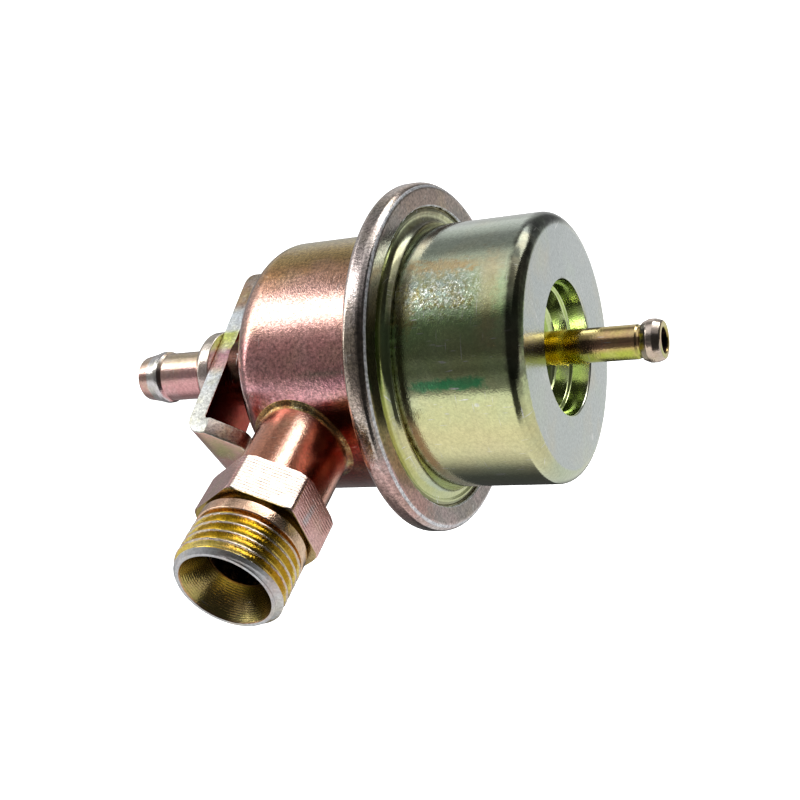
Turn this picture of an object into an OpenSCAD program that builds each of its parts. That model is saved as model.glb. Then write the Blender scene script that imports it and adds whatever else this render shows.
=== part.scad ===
// Diaphragm fuel pressure regulator: a crimped can with a side inlet fitting,
// a return tube with a locating bracket and a vacuum nipple.
// Millimetres, +Z up. The origin is on the inlet's axis, where the thread begins;
// the inlet faces -Y. The can's axis runs along +X, towards the vacuum nipple.

/* [Crimped rim] */
// Width of the crimped rim beyond the cover's wall
rim_w = 6.6; // [6:0.1:8]
// Radius of the rim's outer edges
rim_edge_r = 1.3; // [0.8:0.1:1.6]
// Width of the lip that is folded over the cover
lip_w = 3.7; // [3:0.1:3.9]
// Thickness of the folded lip
lip_t = 0.9; // [0.7:0.05:1.3]
// Thickness of the rim's outer wall
hem_t = 1.2; // [0.9:0.05:1.6]
// Thickness of the diaphragm
diaphragm_t = 0.7; // [0.5:0.05:1]

/* [Lower housing] */
// Outer diameter of the housing
housing_d = 39; // [37:0.1:41]
// Wall of the housing
housing_wall = 1.2; // [0.9:0.05:1.5]
// Distance from the rim's middle to the start of the dome
dome_at = 20; // [18.5:0.1:20.5]
// Length of the dome, to where it would close
dome_len = 9; // [8:0.1:10.5]
// Distance from the rim's middle to the end of the boss
housing_depth = 34.5; // [34:0.1:37]
// Diameter of the boss at the end of the dome
boss_d = 11.2; // [10.6:0.1:12]
// Fillet between the housing and its rim
housing_fillet = 1.6; // [1:0.1:2.5]

/* [Spring cover] */
// Outer diameter of the cover
cover_d = 39.4; // [37.5:0.1:41]
// Distance from the rim's middle to the cover's end face
cover_h = 21.2; // [18:0.1:26]
// Wall of the cover
cover_wall = 1; // [0.8:0.05:1.3]
// Outside radius at the edge of the end face
cover_edge_r = 2.2; // [1.6:0.1:3]
// Fillet at the foot of the cover
cover_foot_r = 2; // [1.4:0.1:2.2]
// Radius of the raised ring on the cover's flange
ring_r = 0.5; // [0.3:0.05:0.7]
// Diameter of the recess in the end face
recess_d = 19.8; // [17:0.1:21]
// Depth of the recess
recess_depth = 5.7; // [5:0.1:6.5]
// Depth of the step in the recess's wall
step_depth = 2.9; // [2.4:0.1:3.4]
// Width of that step
step_w = 0.5; // [0.3:0.1:0.8]

/* [Vacuum nipple] */
// Outer diameter of the nipple
vacuum_d = 5; // [4:0.1:6]
// Bore of the nipple
vacuum_bore_d = 3.6; // [2:0.1:3.8]
// Diameter of its bead
vacuum_bead_d = 6.2; // [6.1:0.1:7.5]
// Length of the nipple beyond the cover's end face
vacuum_reach = 14; // [10:0.1:20]

/* [Inlet fitting] */
// Distance from the rim's middle to the inlet's axis
inlet_setback = 15.4; // [14:0.1:16]
// Outer diameter of the thread
thread_d = 16; // [15.6:0.1:17]
// Length of the thread
thread_len = 6.3; // [5:0.1:8]
// Chamfer at the thread's open end
thread_chamfer = 0.6; // [0.4:0.05:0.9]
// Diameter of the relief behind the thread
relief_d = 14; // [13.6:0.1:14.4]
// Width of the relief
relief_w = 0.6; // [0.4:0.1:1]
// Width of the plain collar
collar_w = 1.9; // [1.2:0.1:2.6]
// Width of the groove between the collar and the hexagon
groove_w = 0.7; // [0.4:0.1:1]
// Width across the flats of the hexagon
hex_af = 16; // [15.5:0.1:18]
// Length of the hexagon
hex_len = 6.6; // [5:0.1:8]
// Diameter of the neck
neck_d = 14.1; // [13.2:0.1:15]
// Length of the neck, from the hexagon to the housing
neck_len = 10.9; // [8:0.1:16]
// Bore of the fitting
inlet_bore_d = 8.6; // [7:0.1:8.8]
// Diameter of the coned mouth
mouth_d = 13.3; // [11:0.1:13.6]
// Depth of the coned mouth
mouth_depth = 4.8; // [3:0.1:6]
// Width of the braze ring
braze_w = 1.1; // [0.7:0.1:1.6]

/* [Return tube] */
// Outer diameter of the tube
return_d = 8; // [7.5:0.1:8.5]
// Bore of the tube
return_bore_d = 6; // [5:0.1:6.4]
// Diameter of its bead
return_bead_d = 8.8; // [8.8:0.1:10]
// Diameter of the tube's mouth
return_mouth_d = 7.2; // [6.8:0.1:7.4]
// Length of the tube beyond the bracket
return_reach = 16.8; // [14:0.1:24]
// Diameter of the collar against the bracket
collar_d = 13.6; // [12:0.1:15]
// Length of that collar
collar_len = 3.4; // [2.5:0.1:5]
// Bore of the valve seat
seat_bore_d = 2.8; // [2:0.1:3.2]

/* [Locating bracket] */
// Sheet thickness of the bracket
bracket_t = 3; // [2:0.1:4]
// Width of the bracket
bracket_w = 10.8; // [10.2:0.1:14]
// Angle from the inlet to the bracket's lug
bracket_angle = 12.5; // [0:0.5:40]
// Distance from the can's axis to the lug's outer face
lug_drop = 16.2; // [14:0.1:20]
// Length of the lug, from the bracket's outer face
lug_len = 8.6; // [8.4:0.1:10]
// Length of the lug's tapered end
lug_taper = 4.6; // [3.6:0.1:4.9]
// Radius of the lug's tip
lug_tip_r = 2.2; // [1.5:0.1:3]
// Distance from the can's axis to the bracket's free end
bracket_tail = 20; // [16:0.1:26]
// Inside radius of the bend
bend_r = 0.4; // [0.3:0.1:1]

/* [Valve group] */
// Outer diameter of the spring plate
plate_d = 32; // [30:0.1:32.6]
// Thickness of the spring plate
plate_t = 1; // [0.8:0.05:1.4]
// Height of the plate's raised ring
plate_rise = 2; // [1.2:0.1:3]
// Flange diameter of the valve holder
holder_flange_d = 18; // [15:0.1:22]
// Thickness of that flange
holder_flange_t = 1.2; // [0.8:0.1:1.8]
// Diameter of the valve holder's body
holder_d = 13; // [11:0.1:14.5]
// Length of the valve holder's body
holder_len = 3.5; // [3.2:0.1:4.2]
// Diameter of the rivet stem
stem_d = 5.8; // [4.5:0.1:6.5]
// Diameter of the rivet head
rivet_d = 8.4; // [7.6:0.1:10]
// Height of the rivet head
rivet_h = 1.2; // [0.8:0.1:1.8]
// Diameter of the valve ball
ball_d = 5; // [4.8:0.1:5.4]
// Height of the ball below its middle, down to its flat
ball_flat = 1.6; // [1.45:0.05:1.7]
// Thickness of the ball retainer
retainer_t = 0.5; // [0.3:0.05:0.6]
// Wire diameter of the spring
wire_d = 2.2; // [1.8:0.1:2.4]
// Number of turns of the spring
spring_turns = 5; // [4:1:6]

/* [Hidden] */
$fn = 96;
// clearance between pieces that are brazed, pressed or riveted together
fit_gap = 0.03;
// clearance of the ball in its pocket and its ring
ball_gap = 0.06;
// clearance of the diaphragm's fold from the spring plate and the wall
fold_gap = 0.05;
// how far a cutting shape runs past the face it cuts
past = 0.1;
// steps of a rounded corner and of the dome
corner_steps = 8;
dome_steps = 24;

// stack of the crimped rim along the can's axis, from the rim's middle
cover_r = cover_d / 2;
rim_r = cover_r + rim_w;
rim_t = housing_wall + diaphragm_t + cover_wall + lip_t;
rim_back = -rim_t / 2;
clamp_low = rim_back + housing_wall;
clamp_mid = clamp_low + diaphragm_t;
clamp_high = clamp_mid + cover_wall;
pocket_r = rim_r - hem_t;
lip_r = rim_r - lip_w;

// lower housing
housing_r = housing_d / 2;
inner_r = housing_r - housing_wall;

// spring cover
recess_r = recess_d / 2;
recess_lip_r = 0.3;
recess_draft = 0.8;
recess_fillet = 1.2;
recess_floor = cover_h - recess_depth;
step_high = cover_h - step_depth;
ring_sink = 0.12;
ring_half = min(ring_r, (lip_r - cover_r - cover_foot_r) / 2 - 0.1);

// vacuum nipple
vacuum_r = vacuum_d / 2;
vacuum_end = cover_h + vacuum_reach;
vacuum_foot_w = 1.2;
vacuum_foot_t = 0.9;
vacuum_bead_len = 3;
vacuum_land = 0.8;
vacuum_groove = 0.15;
vacuum_groove_w = 0.5;

// stations of the inlet fitting, from the start of its thread to the can's axis
thread_r = thread_d / 2;
collar_at = thread_len + relief_w;
groove_at = collar_at + collar_w;
hex_at = groove_at + groove_w;
neck_at = hex_at + hex_len;
inlet_reach = neck_at + neck_len + housing_r;
hex_corner_r = hex_af / 2 / cos(30);
hex_chamfer = 0.5;
neck_r = neck_d / 2;
spigot_r = neck_r - 1.25;
spigot_end = inlet_reach - inner_r + 1.6;
braze_start = neck_at + neck_len - 1.8;

// return tube along the can's axis
return_r = return_d / 2;
bracket_in = -housing_depth;
bracket_out = bracket_in - bracket_t;
return_end = bracket_out - return_reach;
return_bead_len = 2;
return_land = 1;
return_nose = 3;
mouth_round = 0.3;
collar_land = 1.1;
seat_land = 1.2;
seat_wall = 2;

// valve group along the can's axis
holder_top = clamp_low - holder_flange_t;
holder_base = holder_top - holder_len;
ball_r = ball_d / 2;
ball_drop = 0.8;
ball_mid = holder_base + ball_drop;
seat_face = ball_mid - ball_flat;
retainer_hole_r = sqrt(ball_r * ball_r - ball_drop * ball_drop) + ball_gap;
plate_top = clamp_mid + plate_t;
clear_r = min(inner_r, cover_r - cover_wall);
fold_mid = (plate_d / 2 + clear_r) / 2;
fold_half = (clear_r - plate_d / 2) / 2 - fold_gap;
fold_r = sqrt(fold_half * fold_half + diaphragm_t * diaphragm_t) - diaphragm_t;

// spring, between the wall of the recess and the wall of the cover
spring_r = (recess_r + cover_r) / 2;
spring_low = plate_top + wire_d / 2;
spring_high = cover_h - cover_wall - wire_d / 2;
closed_rise = wire_d * 1.05;
spring_pitch = (spring_high - spring_low - 2 * closed_rise) / (spring_turns - 2);
hub_r = spring_r - wire_d / 2 - 0.4;

// points of an arc, from one angle to another
function arc(mid, r, from, to, steps = corner_steps) =
    [for (i = [0:steps]) let (t = from + (to - from) * i / steps) mid + r * [cos(t), sin(t)]];

// points along the rounded dome of a housing with this radius and length
function dome(r, length, from, to) =
    [for (i = [0:dome_steps])
        let (t = from + (to - from) * i / dome_steps)
        [r * cos(t), -dome_at - length * sin(t)]];

// carries a shape made about Z to the can's axis, which runs along +X
module on_axis() {
    translate([inlet_setback, inlet_reach, 0]) rotate([0, 90, 0]) children();
}

// carries a shape made about Z to the inlet's axis, which runs along +Y into the can
module on_inlet() {
    rotate([-90, 0, 0]) children();
}

// outside of the domed cup with a margin, from the dome's end to the rim
module cup_outside(margin) {
    rotate_extrude()
        polygon(concat(
            dome(housing_r + margin, dome_len + margin, 90, 0),
            [[housing_r + margin, rim_back], [0, rim_back]]
        ));
}

// drawn cup with a domed end, flange and hem
module lower_housing() {
    hole_r = return_r + fit_gap;
    outer_end = acos(boss_d / 2 / housing_r);
    inner_end = acos(hole_r / inner_r);
    edge_r = rim_r - rim_edge_r;
    edge_a = rim_t / 2 - rim_edge_r;
    color("rosybrown")
        difference() {
            on_axis()
                rotate_extrude()
                    polygon(concat(
                        [[hole_r, -housing_depth], [boss_d / 2, -housing_depth]],
                        dome(housing_r, dome_len, outer_end, 0),
                        arc([housing_r + housing_fillet, rim_back - housing_fillet], housing_fillet, 180, 90),
                        arc([edge_r, -edge_a], rim_edge_r, -90, 0),
                        arc([edge_r, edge_a], rim_edge_r, 0, 90),
                        [
                            [lip_r, rim_t / 2],
                            [lip_r, clamp_high],
                            [pocket_r, clamp_high],
                            [pocket_r, clamp_low],
                            [inner_r, clamp_low]
                        ],
                        dome(inner_r, dome_len - housing_wall, 0, inner_end)
                    ));
            on_inlet() cylinder(h = inlet_reach, r = spigot_r + fit_gap);
        }
}

// drawn cover with a flange, a rounded edge and a stepped recess
module spring_cover() {
    foot = [cover_r + cover_foot_r, clamp_high + cover_foot_r];
    edge = [cover_r - cover_edge_r, cover_h - cover_edge_r];
    upper_r = recess_r - recess_draft / 2;
    lower_r = upper_r - step_w;
    bottom_r = lower_r - recess_draft;
    dip = [bottom_r - recess_fillet, recess_floor + recess_fillet];
    flange_r = pocket_r - fit_gap;
    ring_mid = (foot[0] + lip_r) / 2;
    ring_from = asin(ring_sink / ring_half);
    hole_r = vacuum_r + fit_gap;
    color("darkseagreen")
        on_axis()
            rotate_extrude()
                polygon(concat(
                    [[flange_r, clamp_mid], [flange_r, clamp_high]],
                    arc([ring_mid, clamp_high - ring_sink], ring_half, ring_from, 180 - ring_from),
                    arc(foot, cover_foot_r, 270, 180),
                    arc(edge, cover_edge_r, 0, 90),
                    arc([recess_r + recess_lip_r, cover_h - recess_lip_r], recess_lip_r, 90, 180),
                    [[upper_r, step_high], [lower_r, step_high]],
                    arc(dip, recess_fillet, 0, -90),
                    [[hole_r, recess_floor], [hole_r, recess_floor - cover_wall]],
                    arc(dip, recess_fillet + cover_wall, -90, 0),
                    [
                        [lower_r + cover_wall, step_high - cover_wall],
                        [upper_r + cover_wall, step_high - cover_wall],
                        [recess_r + cover_wall, cover_h - cover_wall]
                    ],
                    arc(edge, cover_edge_r - cover_wall, 90, 0),
                    arc(foot, cover_foot_r + cover_wall, 180, 270)
                ));
}

// beaded tube, flared under the cover
module vacuum_nipple() {
    foot_top = recess_floor - cover_wall;
    foot_r = vacuum_r + vacuum_foot_w;
    bead_r = vacuum_bead_d / 2;
    bead_low = vacuum_end - vacuum_bead_len;
    bead_curve = (vacuum_bead_len - vacuum_land) / 2;
    waist_r = vacuum_r - vacuum_groove;
    color("darkkhaki")
        on_axis()
            rotate_extrude()
                polygon([
                    [vacuum_bore_d / 2, foot_top - vacuum_foot_t],
                    [foot_r, foot_top - vacuum_foot_t],
                    [foot_r, foot_top],
                    [vacuum_r, foot_top],
                    [vacuum_r, bead_low - vacuum_groove_w],
                    [waist_r, bead_low - vacuum_groove_w],
                    [waist_r, bead_low],
                    each [for (i = [1:corner_steps])
                        [
                            waist_r + (bead_r - waist_r) * sin(90 * i / corner_steps),
                            bead_low + bead_curve * (1 - cos(90 * i / corner_steps))
                        ]],
                    each [for (i = [0:corner_steps])
                        [
                            bead_r - (bead_r - vacuum_r) * (1 - cos(90 * i / corner_steps)),
                            vacuum_end - bead_curve * (1 - sin(90 * i / corner_steps))
                        ]],
                    [vacuum_bore_d / 2, vacuum_end]
                ]);
}

// solid of the fitting without its hexagon and its bore
module inlet_stem() {
    collar_r = thread_r - fit_gap;
    rotate_extrude()
        polygon([
            [0, -thread_chamfer],
            [thread_r - thread_chamfer, -thread_chamfer],
            [thread_r, 0],
            [thread_r, thread_len],
            [relief_d / 2, thread_len],
            [relief_d / 2, collar_at],
            [collar_r, collar_at],
            [collar_r, groove_at],
            [neck_r, groove_at],
            [neck_r, inlet_reach],
            [0, inlet_reach]
        ]);
}

// hexagon with both ends chamfered
module inlet_hexagon() {
    flat_r = hex_af / 2 - hex_chamfer / 2;
    slope = (hex_corner_r - flat_r) * tan(30);
    intersection() {
        translate([0, 0, hex_at]) rotate(30) cylinder(h = hex_len, r = hex_corner_r, $fn = 6);
        rotate_extrude()
            polygon([
                [0, hex_at],
                [flat_r, hex_at],
                [hex_corner_r, hex_at + slope],
                [hex_corner_r, neck_at - slope],
                [flat_r, neck_at],
                [0, neck_at]
            ]);
    }
}

// turned fitting with a coned mouth and a spigot in the housing wall
module inlet_fitting() {
    bore_r = inlet_bore_d / 2;
    color("peru")
        difference() {
            union() {
                difference() {
                    on_inlet() inlet_stem();
                    on_axis() cup_outside(fit_gap);
                }
                on_inlet() inlet_hexagon();
                on_inlet() translate([0, 0, neck_at]) cylinder(h = spigot_end - neck_at, r = spigot_r);
            }
            on_inlet()
                rotate_extrude()
                    polygon([
                        [0, -thread_chamfer - past],
                        [mouth_d / 2, -thread_chamfer - past],
                        [mouth_d / 2, -thread_chamfer],
                        [bore_r, mouth_depth - thread_chamfer],
                        [bore_r, spigot_end + past],
                        [0, spigot_end + past]
                    ]);
        }
}

// hollow fillet of braze metal round the neck, cut to the housing
module inlet_braze_ring() {
    inner = neck_r + fit_gap;
    outer = inner + braze_w;
    color("goldenrod")
        difference() {
            on_inlet()
                rotate_extrude()
                    polygon(concat(
                        [[inner, inlet_reach - inner_r + housing_wall], [inner, braze_start]],
                        arc([outer, braze_start], braze_w - 0.1, 180, 90),
                        [[outer, inlet_reach - inner_r + housing_wall]]
                    ));
            on_axis() cup_outside(fit_gap);
        }
}

// tube with a bead, a collar and a valve seat at its inner end
module return_tube() {
    bead_r = return_bead_d / 2;
    bead_high = return_end + return_nose + return_bead_len;
    bead_low = return_end + return_nose;
    bead_curve = (return_bead_len - return_land) / 2;
    bore_r = return_bore_d / 2;
    collar_r = collar_d / 2;
    collar_end = bracket_out - collar_len;
    color("rosybrown")
        on_axis()
            rotate_extrude()
                polygon([
                    [bore_r, return_end],
                    [return_mouth_d / 2 - mouth_round, return_end],
                    [return_mouth_d / 2, return_end + mouth_round],
                    [return_r, bead_low],
                    [bead_r, bead_low + bead_curve],
                    [bead_r, bead_high - bead_curve],
                    [return_r, bead_high],
                    [return_r, collar_end],
                    each [for (i = [1:corner_steps])
                        [
                            return_r + (collar_r - return_r) * sin(90 * i / corner_steps),
                            collar_end + (collar_len - collar_land) * (1 - cos(90 * i / corner_steps))
                        ]],
                    [collar_r, bracket_out],
                    [return_r, bracket_out],
                    [return_r, seat_face - seat_wall],
                    [seat_bore_d / 2 + seat_land, seat_face],
                    [seat_bore_d / 2, seat_face],
                    [seat_bore_d / 2, seat_face - seat_wall],
                    [bore_r, seat_face - seat_wall - (bore_r - seat_bore_d / 2)]
                ]);
}

// outline of the bracket's plate, with a round free end
module plate_outline(length) {
    middle = bracket_w / 2 - bracket_tail;
    translate([middle, 0]) circle(d = bracket_w);
    translate([middle, -bracket_w / 2]) square([length - middle, bracket_w]);
}

// outline of the lug from its tip, with tapered sides
module lug_outline(length) {
    half = bracket_w / 2;
    side = [lug_taper - lug_tip_r, half];
    lean = atan2(side[1], side[0]) + acos(lug_tip_r / norm(side));
    polygon(concat(
        [[length, half], [lug_taper, half]],
        arc([lug_tip_r, 0], lug_tip_r, lean, 360 - lean),
        [[lug_taper, -half], [length, -half]]
    ));
}

// strip of sheet with one round end and a bent lug
module locating_bracket() {
    bend_out = bend_r + bracket_t;
    half = bracket_w / 2;
    color("darkgoldenrod")
        on_axis()
            rotate(bracket_angle - 90)
                difference() {
                    union() {
                        translate([0, 0, bracket_out])
                            linear_extrude(bracket_t)
                                plate_outline(lug_drop - bend_out);
                        translate([lug_drop - bend_out, half, bracket_out + bend_out])
                            rotate([90, 0, 0])
                                linear_extrude(bracket_w)
                                    intersection() {
                                        difference() {
                                            circle(r = bend_out);
                                            circle(r = bend_r);
                                        }
                                        translate([0, -bend_out]) square(bend_out);
                                    }
                        translate([lug_drop, 0, bracket_out + lug_len])
                            rotate([0, 90, 180])
                                linear_extrude(bracket_t)
                                    lug_outline(lug_len - bend_out);
                    }
                    translate([0, 0, bracket_out - past])
                        cylinder(h = bracket_t + 2 * past, r = return_r + fit_gap);
                }
}

// disc with a rolled fold between the plates and the clamp
module diaphragm() {
    outer_r = pocket_r - fit_gap;
    hole_r = stem_d / 2 + fit_gap;
    fold_from = asin(diaphragm_t / (fold_r + diaphragm_t));
    color("dimgray")
        on_axis()
            rotate_extrude()
                polygon(concat(
                    [[hole_r, clamp_low]],
                    arc([fold_mid, clamp_low], fold_r, 180, 0),
                    [[outer_r, clamp_low], [outer_r, clamp_mid]],
                    arc([fold_mid, clamp_low], fold_r + diaphragm_t, fold_from, 180 - fold_from),
                    [[hole_r, clamp_mid]]
                ));
}

// pressed plate with a raised ring that centres the spring
module spring_plate() {
    color("silver")
        on_axis()
            rotate_extrude()
                polygon([
                    [stem_d / 2 + fit_gap, clamp_mid],
                    [plate_d / 2, clamp_mid],
                    [plate_d / 2, plate_top],
                    [hub_r, plate_top],
                    [hub_r - plate_rise / 2, plate_top + plate_rise],
                    [hub_r - plate_rise / 2 - plate_t, plate_top + plate_rise],
                    [hub_r - plate_rise - plate_t, plate_top],
                    [stem_d / 2 + fit_gap, plate_top]
                ]);
}

// turned carrier with a flange, a ball pocket and a rivet stem
module valve_holder() {
    color("lightgray")
        on_axis()
            difference() {
                rotate_extrude()
                    polygon([
                        [0, holder_base],
                        [holder_d / 2, holder_base],
                        [holder_d / 2, holder_top],
                        [holder_flange_d / 2, holder_top],
                        [holder_flange_d / 2, clamp_low],
                        [stem_d / 2, clamp_low],
                        [stem_d / 2, plate_top],
                        [rivet_d / 2, plate_top],
                        [rivet_d / 2 - rivet_h / 2, plate_top + rivet_h],
                        [0, plate_top + rivet_h]
                    ]);
                translate([0, 0, ball_mid]) sphere(r = ball_r + ball_gap);
                translate([0, 0, holder_base - past])
                    cylinder(h = ball_mid - holder_base + past, r = ball_r + ball_gap);
            }
}

// ball with a ground flat that lies on the valve seat
module valve_ball() {
    color("gainsboro")
        on_axis()
            difference() {
                translate([0, 0, ball_mid]) sphere(d = ball_d);
                translate([0, 0, seat_face - ball_d]) cylinder(h = ball_d, d = 2 * ball_d);
            }
}

// ring under the valve holder that keeps the ball in its pocket
module ball_retainer() {
    color("darkgray")
        on_axis()
            translate([0, 0, holder_base - retainer_t])
                difference() {
                    cylinder(h = retainer_t, d = holder_d);
                    translate([0, 0, -past]) cylinder(h = retainer_t + 2 * past, r = retainer_hole_r);
                }
}

// height of the spring's wire after some turns, with a closed turn at each end
function coil_height(turn) =
    spring_low + closed_rise * min(turn, 1) + spring_pitch * max(0, min(turn, spring_turns - 1) - 1)
    + closed_rise * max(0, turn - spring_turns + 1);

// coil spring swept as one closed tube
module main_spring() {
    sides = 8;
    turn_steps = 24;
    steps = turn_steps * spring_turns;
    wire_r = wire_d / 2;
    points = [
        for (i = [0:steps], j = [0:sides - 1])
            let (
                turn = i / turn_steps,
                side = 360 * j / sides,
                r = spring_r + wire_r * cos(side)
            )
            [r * cos(360 * turn), r * sin(360 * turn), coil_height(turn) + wire_r * sin(side)]
    ];
    faces = concat(
        [[for (j = [0:sides - 1]) j]],
        [for (i = [0:steps - 1], j = [0:sides - 1])
            let (next = (j + 1) % sides)
            [i * sides + j, (i + 1) * sides + j, (i + 1) * sides + next, i * sides + next]],
        [[for (j = [sides - 1:-1:0]) steps * sides + j]]
    );
    color("slategray") on_axis() polyhedron(points, faces);
}

lower_housing();
spring_cover();
vacuum_nipple();
inlet_fitting();
inlet_braze_ring();
return_tube();
locating_bracket();
diaphragm();
spring_plate();
valve_holder();
valve_ball();
ball_retainer();
main_spring();
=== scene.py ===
"""Dress the crimped diaphragm regulator: shapes, plated finishes, studio and camera."""
import logging
import math
from collections.abc import Callable, Sequence
from dataclasses import dataclass
from enum import Enum, IntEnum

import bmesh
import bpy
from mathutils import Matrix, Vector, noise


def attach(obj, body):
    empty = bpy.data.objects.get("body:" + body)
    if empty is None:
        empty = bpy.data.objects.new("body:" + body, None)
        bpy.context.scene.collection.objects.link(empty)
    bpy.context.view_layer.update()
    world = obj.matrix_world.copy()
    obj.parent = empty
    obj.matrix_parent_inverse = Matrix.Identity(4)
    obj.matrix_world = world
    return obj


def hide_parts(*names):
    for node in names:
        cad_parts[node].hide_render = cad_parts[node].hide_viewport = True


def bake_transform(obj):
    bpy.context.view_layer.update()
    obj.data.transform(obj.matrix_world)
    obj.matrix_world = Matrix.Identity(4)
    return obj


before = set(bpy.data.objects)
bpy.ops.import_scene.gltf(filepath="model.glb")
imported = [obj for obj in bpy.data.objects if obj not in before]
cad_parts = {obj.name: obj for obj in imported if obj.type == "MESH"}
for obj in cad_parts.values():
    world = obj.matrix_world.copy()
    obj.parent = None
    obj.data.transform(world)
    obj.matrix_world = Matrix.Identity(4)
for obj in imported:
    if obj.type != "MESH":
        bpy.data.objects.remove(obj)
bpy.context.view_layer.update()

LOG = logging.getLogger("regulator")
MM = 0.001
FULL_TURN = 2 * math.pi
MERGE_WITHIN = 1e-7

Point = tuple[float, float]
Corner = tuple[float, float, float]
Colour = tuple[float, float, float, float]
Shade = tuple[int, int, int]
Stops = tuple[tuple[float, Shade], ...]


def tint(red: int, green: int, blue: int) -> Colour:
    """Turn a screen colour into the linear colour that a shader wants.

    Args:
        red, green, blue: Screen values from 0 to 255.

    Returns:
        The linear colour with full alpha.
    """
    parts = [value / 255 for value in (red, green, blue)]
    line = [part / 12.92 if part <= 0.04045 else ((part + 0.055) / 1.055) ** 2.4 for part in parts]
    return line[0], line[1], line[2], 1.0


def unit(value: float) -> float:
    """Return a value held between 0 and 1."""
    return min(1.0, max(0.0, value))


def spread(start: float, stop: float, step: float) -> list[float]:
    """Return evenly spread values from start to stop, both included."""
    count = max(1, round(abs(stop - start) / step))
    return [start + (stop - start) * index / count for index in range(count + 1)]


class Body(Enum):
    """Bodies of the part that pieces ride on."""

    HOUSING = "housing"
    VALVE = "valve"


# Axes and profiles

@dataclass(frozen=True)
class TurnAxis:
    """Axis that a lathed piece turns about, in millimetres."""

    centre: Vector
    along: Vector
    out: Vector

    def at(self, radius: float, station: float) -> Vector:
        """Return the point in metres at a radius and a station on the profile's side."""
        return (self.centre + self.out * radius + self.along * station) * MM

    def read(self, point: Vector) -> Corner:
        """Read a point's place about the axis.

        Args:
            point: The point, in metres.

        Returns:
            Its radius, angle and station.
        """
        offset = point / MM - self.centre
        outward = offset.dot(self.out)
        sideways = offset.dot(self.along.cross(self.out))
        return math.hypot(outward, sideways), math.atan2(sideways, outward), offset.dot(self.along)

    def set(self, radius: float, angle: float, station: float) -> Vector:
        """Find the point at a place about the axis.

        Args:
            radius: Distance from the axis.
            angle: Angle from the profile's side.
            station: Place along the axis.

        Returns:
            The point in metres.
        """
        side = self.along.cross(self.out)
        outward = self.out * math.cos(angle) + side * math.sin(angle)
        return (self.centre + outward * radius + self.along * station) * MM


CAN = TurnAxis(Vector((15.4, 46.5, 0)), Vector((1, 0, 0)), Vector((0, 1, 0)))
INLET = TurnAxis(Vector((0, 0, 0)), Vector((0, 1, 0)), Vector((1, 0, 0)))

# A rounding takes up at most this share of its sides, and corners past these angles stay sharp
ROUNDING_SHARE = 0.98
FLATTEST = math.radians(179)
TIGHTEST = math.radians(1)


def rounded(corners: Sequence[Corner], degrees: float = 9.0) -> list[Point]:
    """Round the corners of a profile.

    Args:
        corners: Radius, station and rounding of each corner, in millimetres.
        degrees: Largest step of a rounding.

    Returns:
        The profile's points.
    """
    points: list[Point] = []
    last = len(corners) - 1
    for index, (radius, station, fillet) in enumerate(corners):
        here = Vector((radius, station))
        if fillet <= 0 or index in (0, last):
            points.append((radius, station))
            continue
        to_before = Vector(corners[index - 1][:2]) - here
        to_after = Vector(corners[index + 1][:2]) - here
        before_share = fillet / (fillet + corners[index - 1][2])
        after_share = fillet / (fillet + corners[index + 1][2])
        reach = ROUNDING_SHARE * min(to_before.length * before_share, to_after.length * after_share)
        to_before.normalize()
        to_after.normalize()
        opening = to_before.angle(to_after)
        if opening > FLATTEST or opening < TIGHTEST:
            points.append((radius, station))
            continue
        back = min(reach, fillet / math.tan(opening / 2))
        middle = here + (to_before + to_after).normalized() * (back / math.cos(opening / 2))
        start = here + to_before * back - middle
        end = here + to_after * back - middle
        sweep = start.angle_signed(end)
        steps = max(2, math.ceil(abs(math.degrees(sweep)) / degrees))
        for step in range(steps + 1):
            turn = Matrix.Rotation(-sweep * step / steps, 2)
            spot = middle + turn @ start
            points.append((spot.x, spot.y))
    return points


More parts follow.
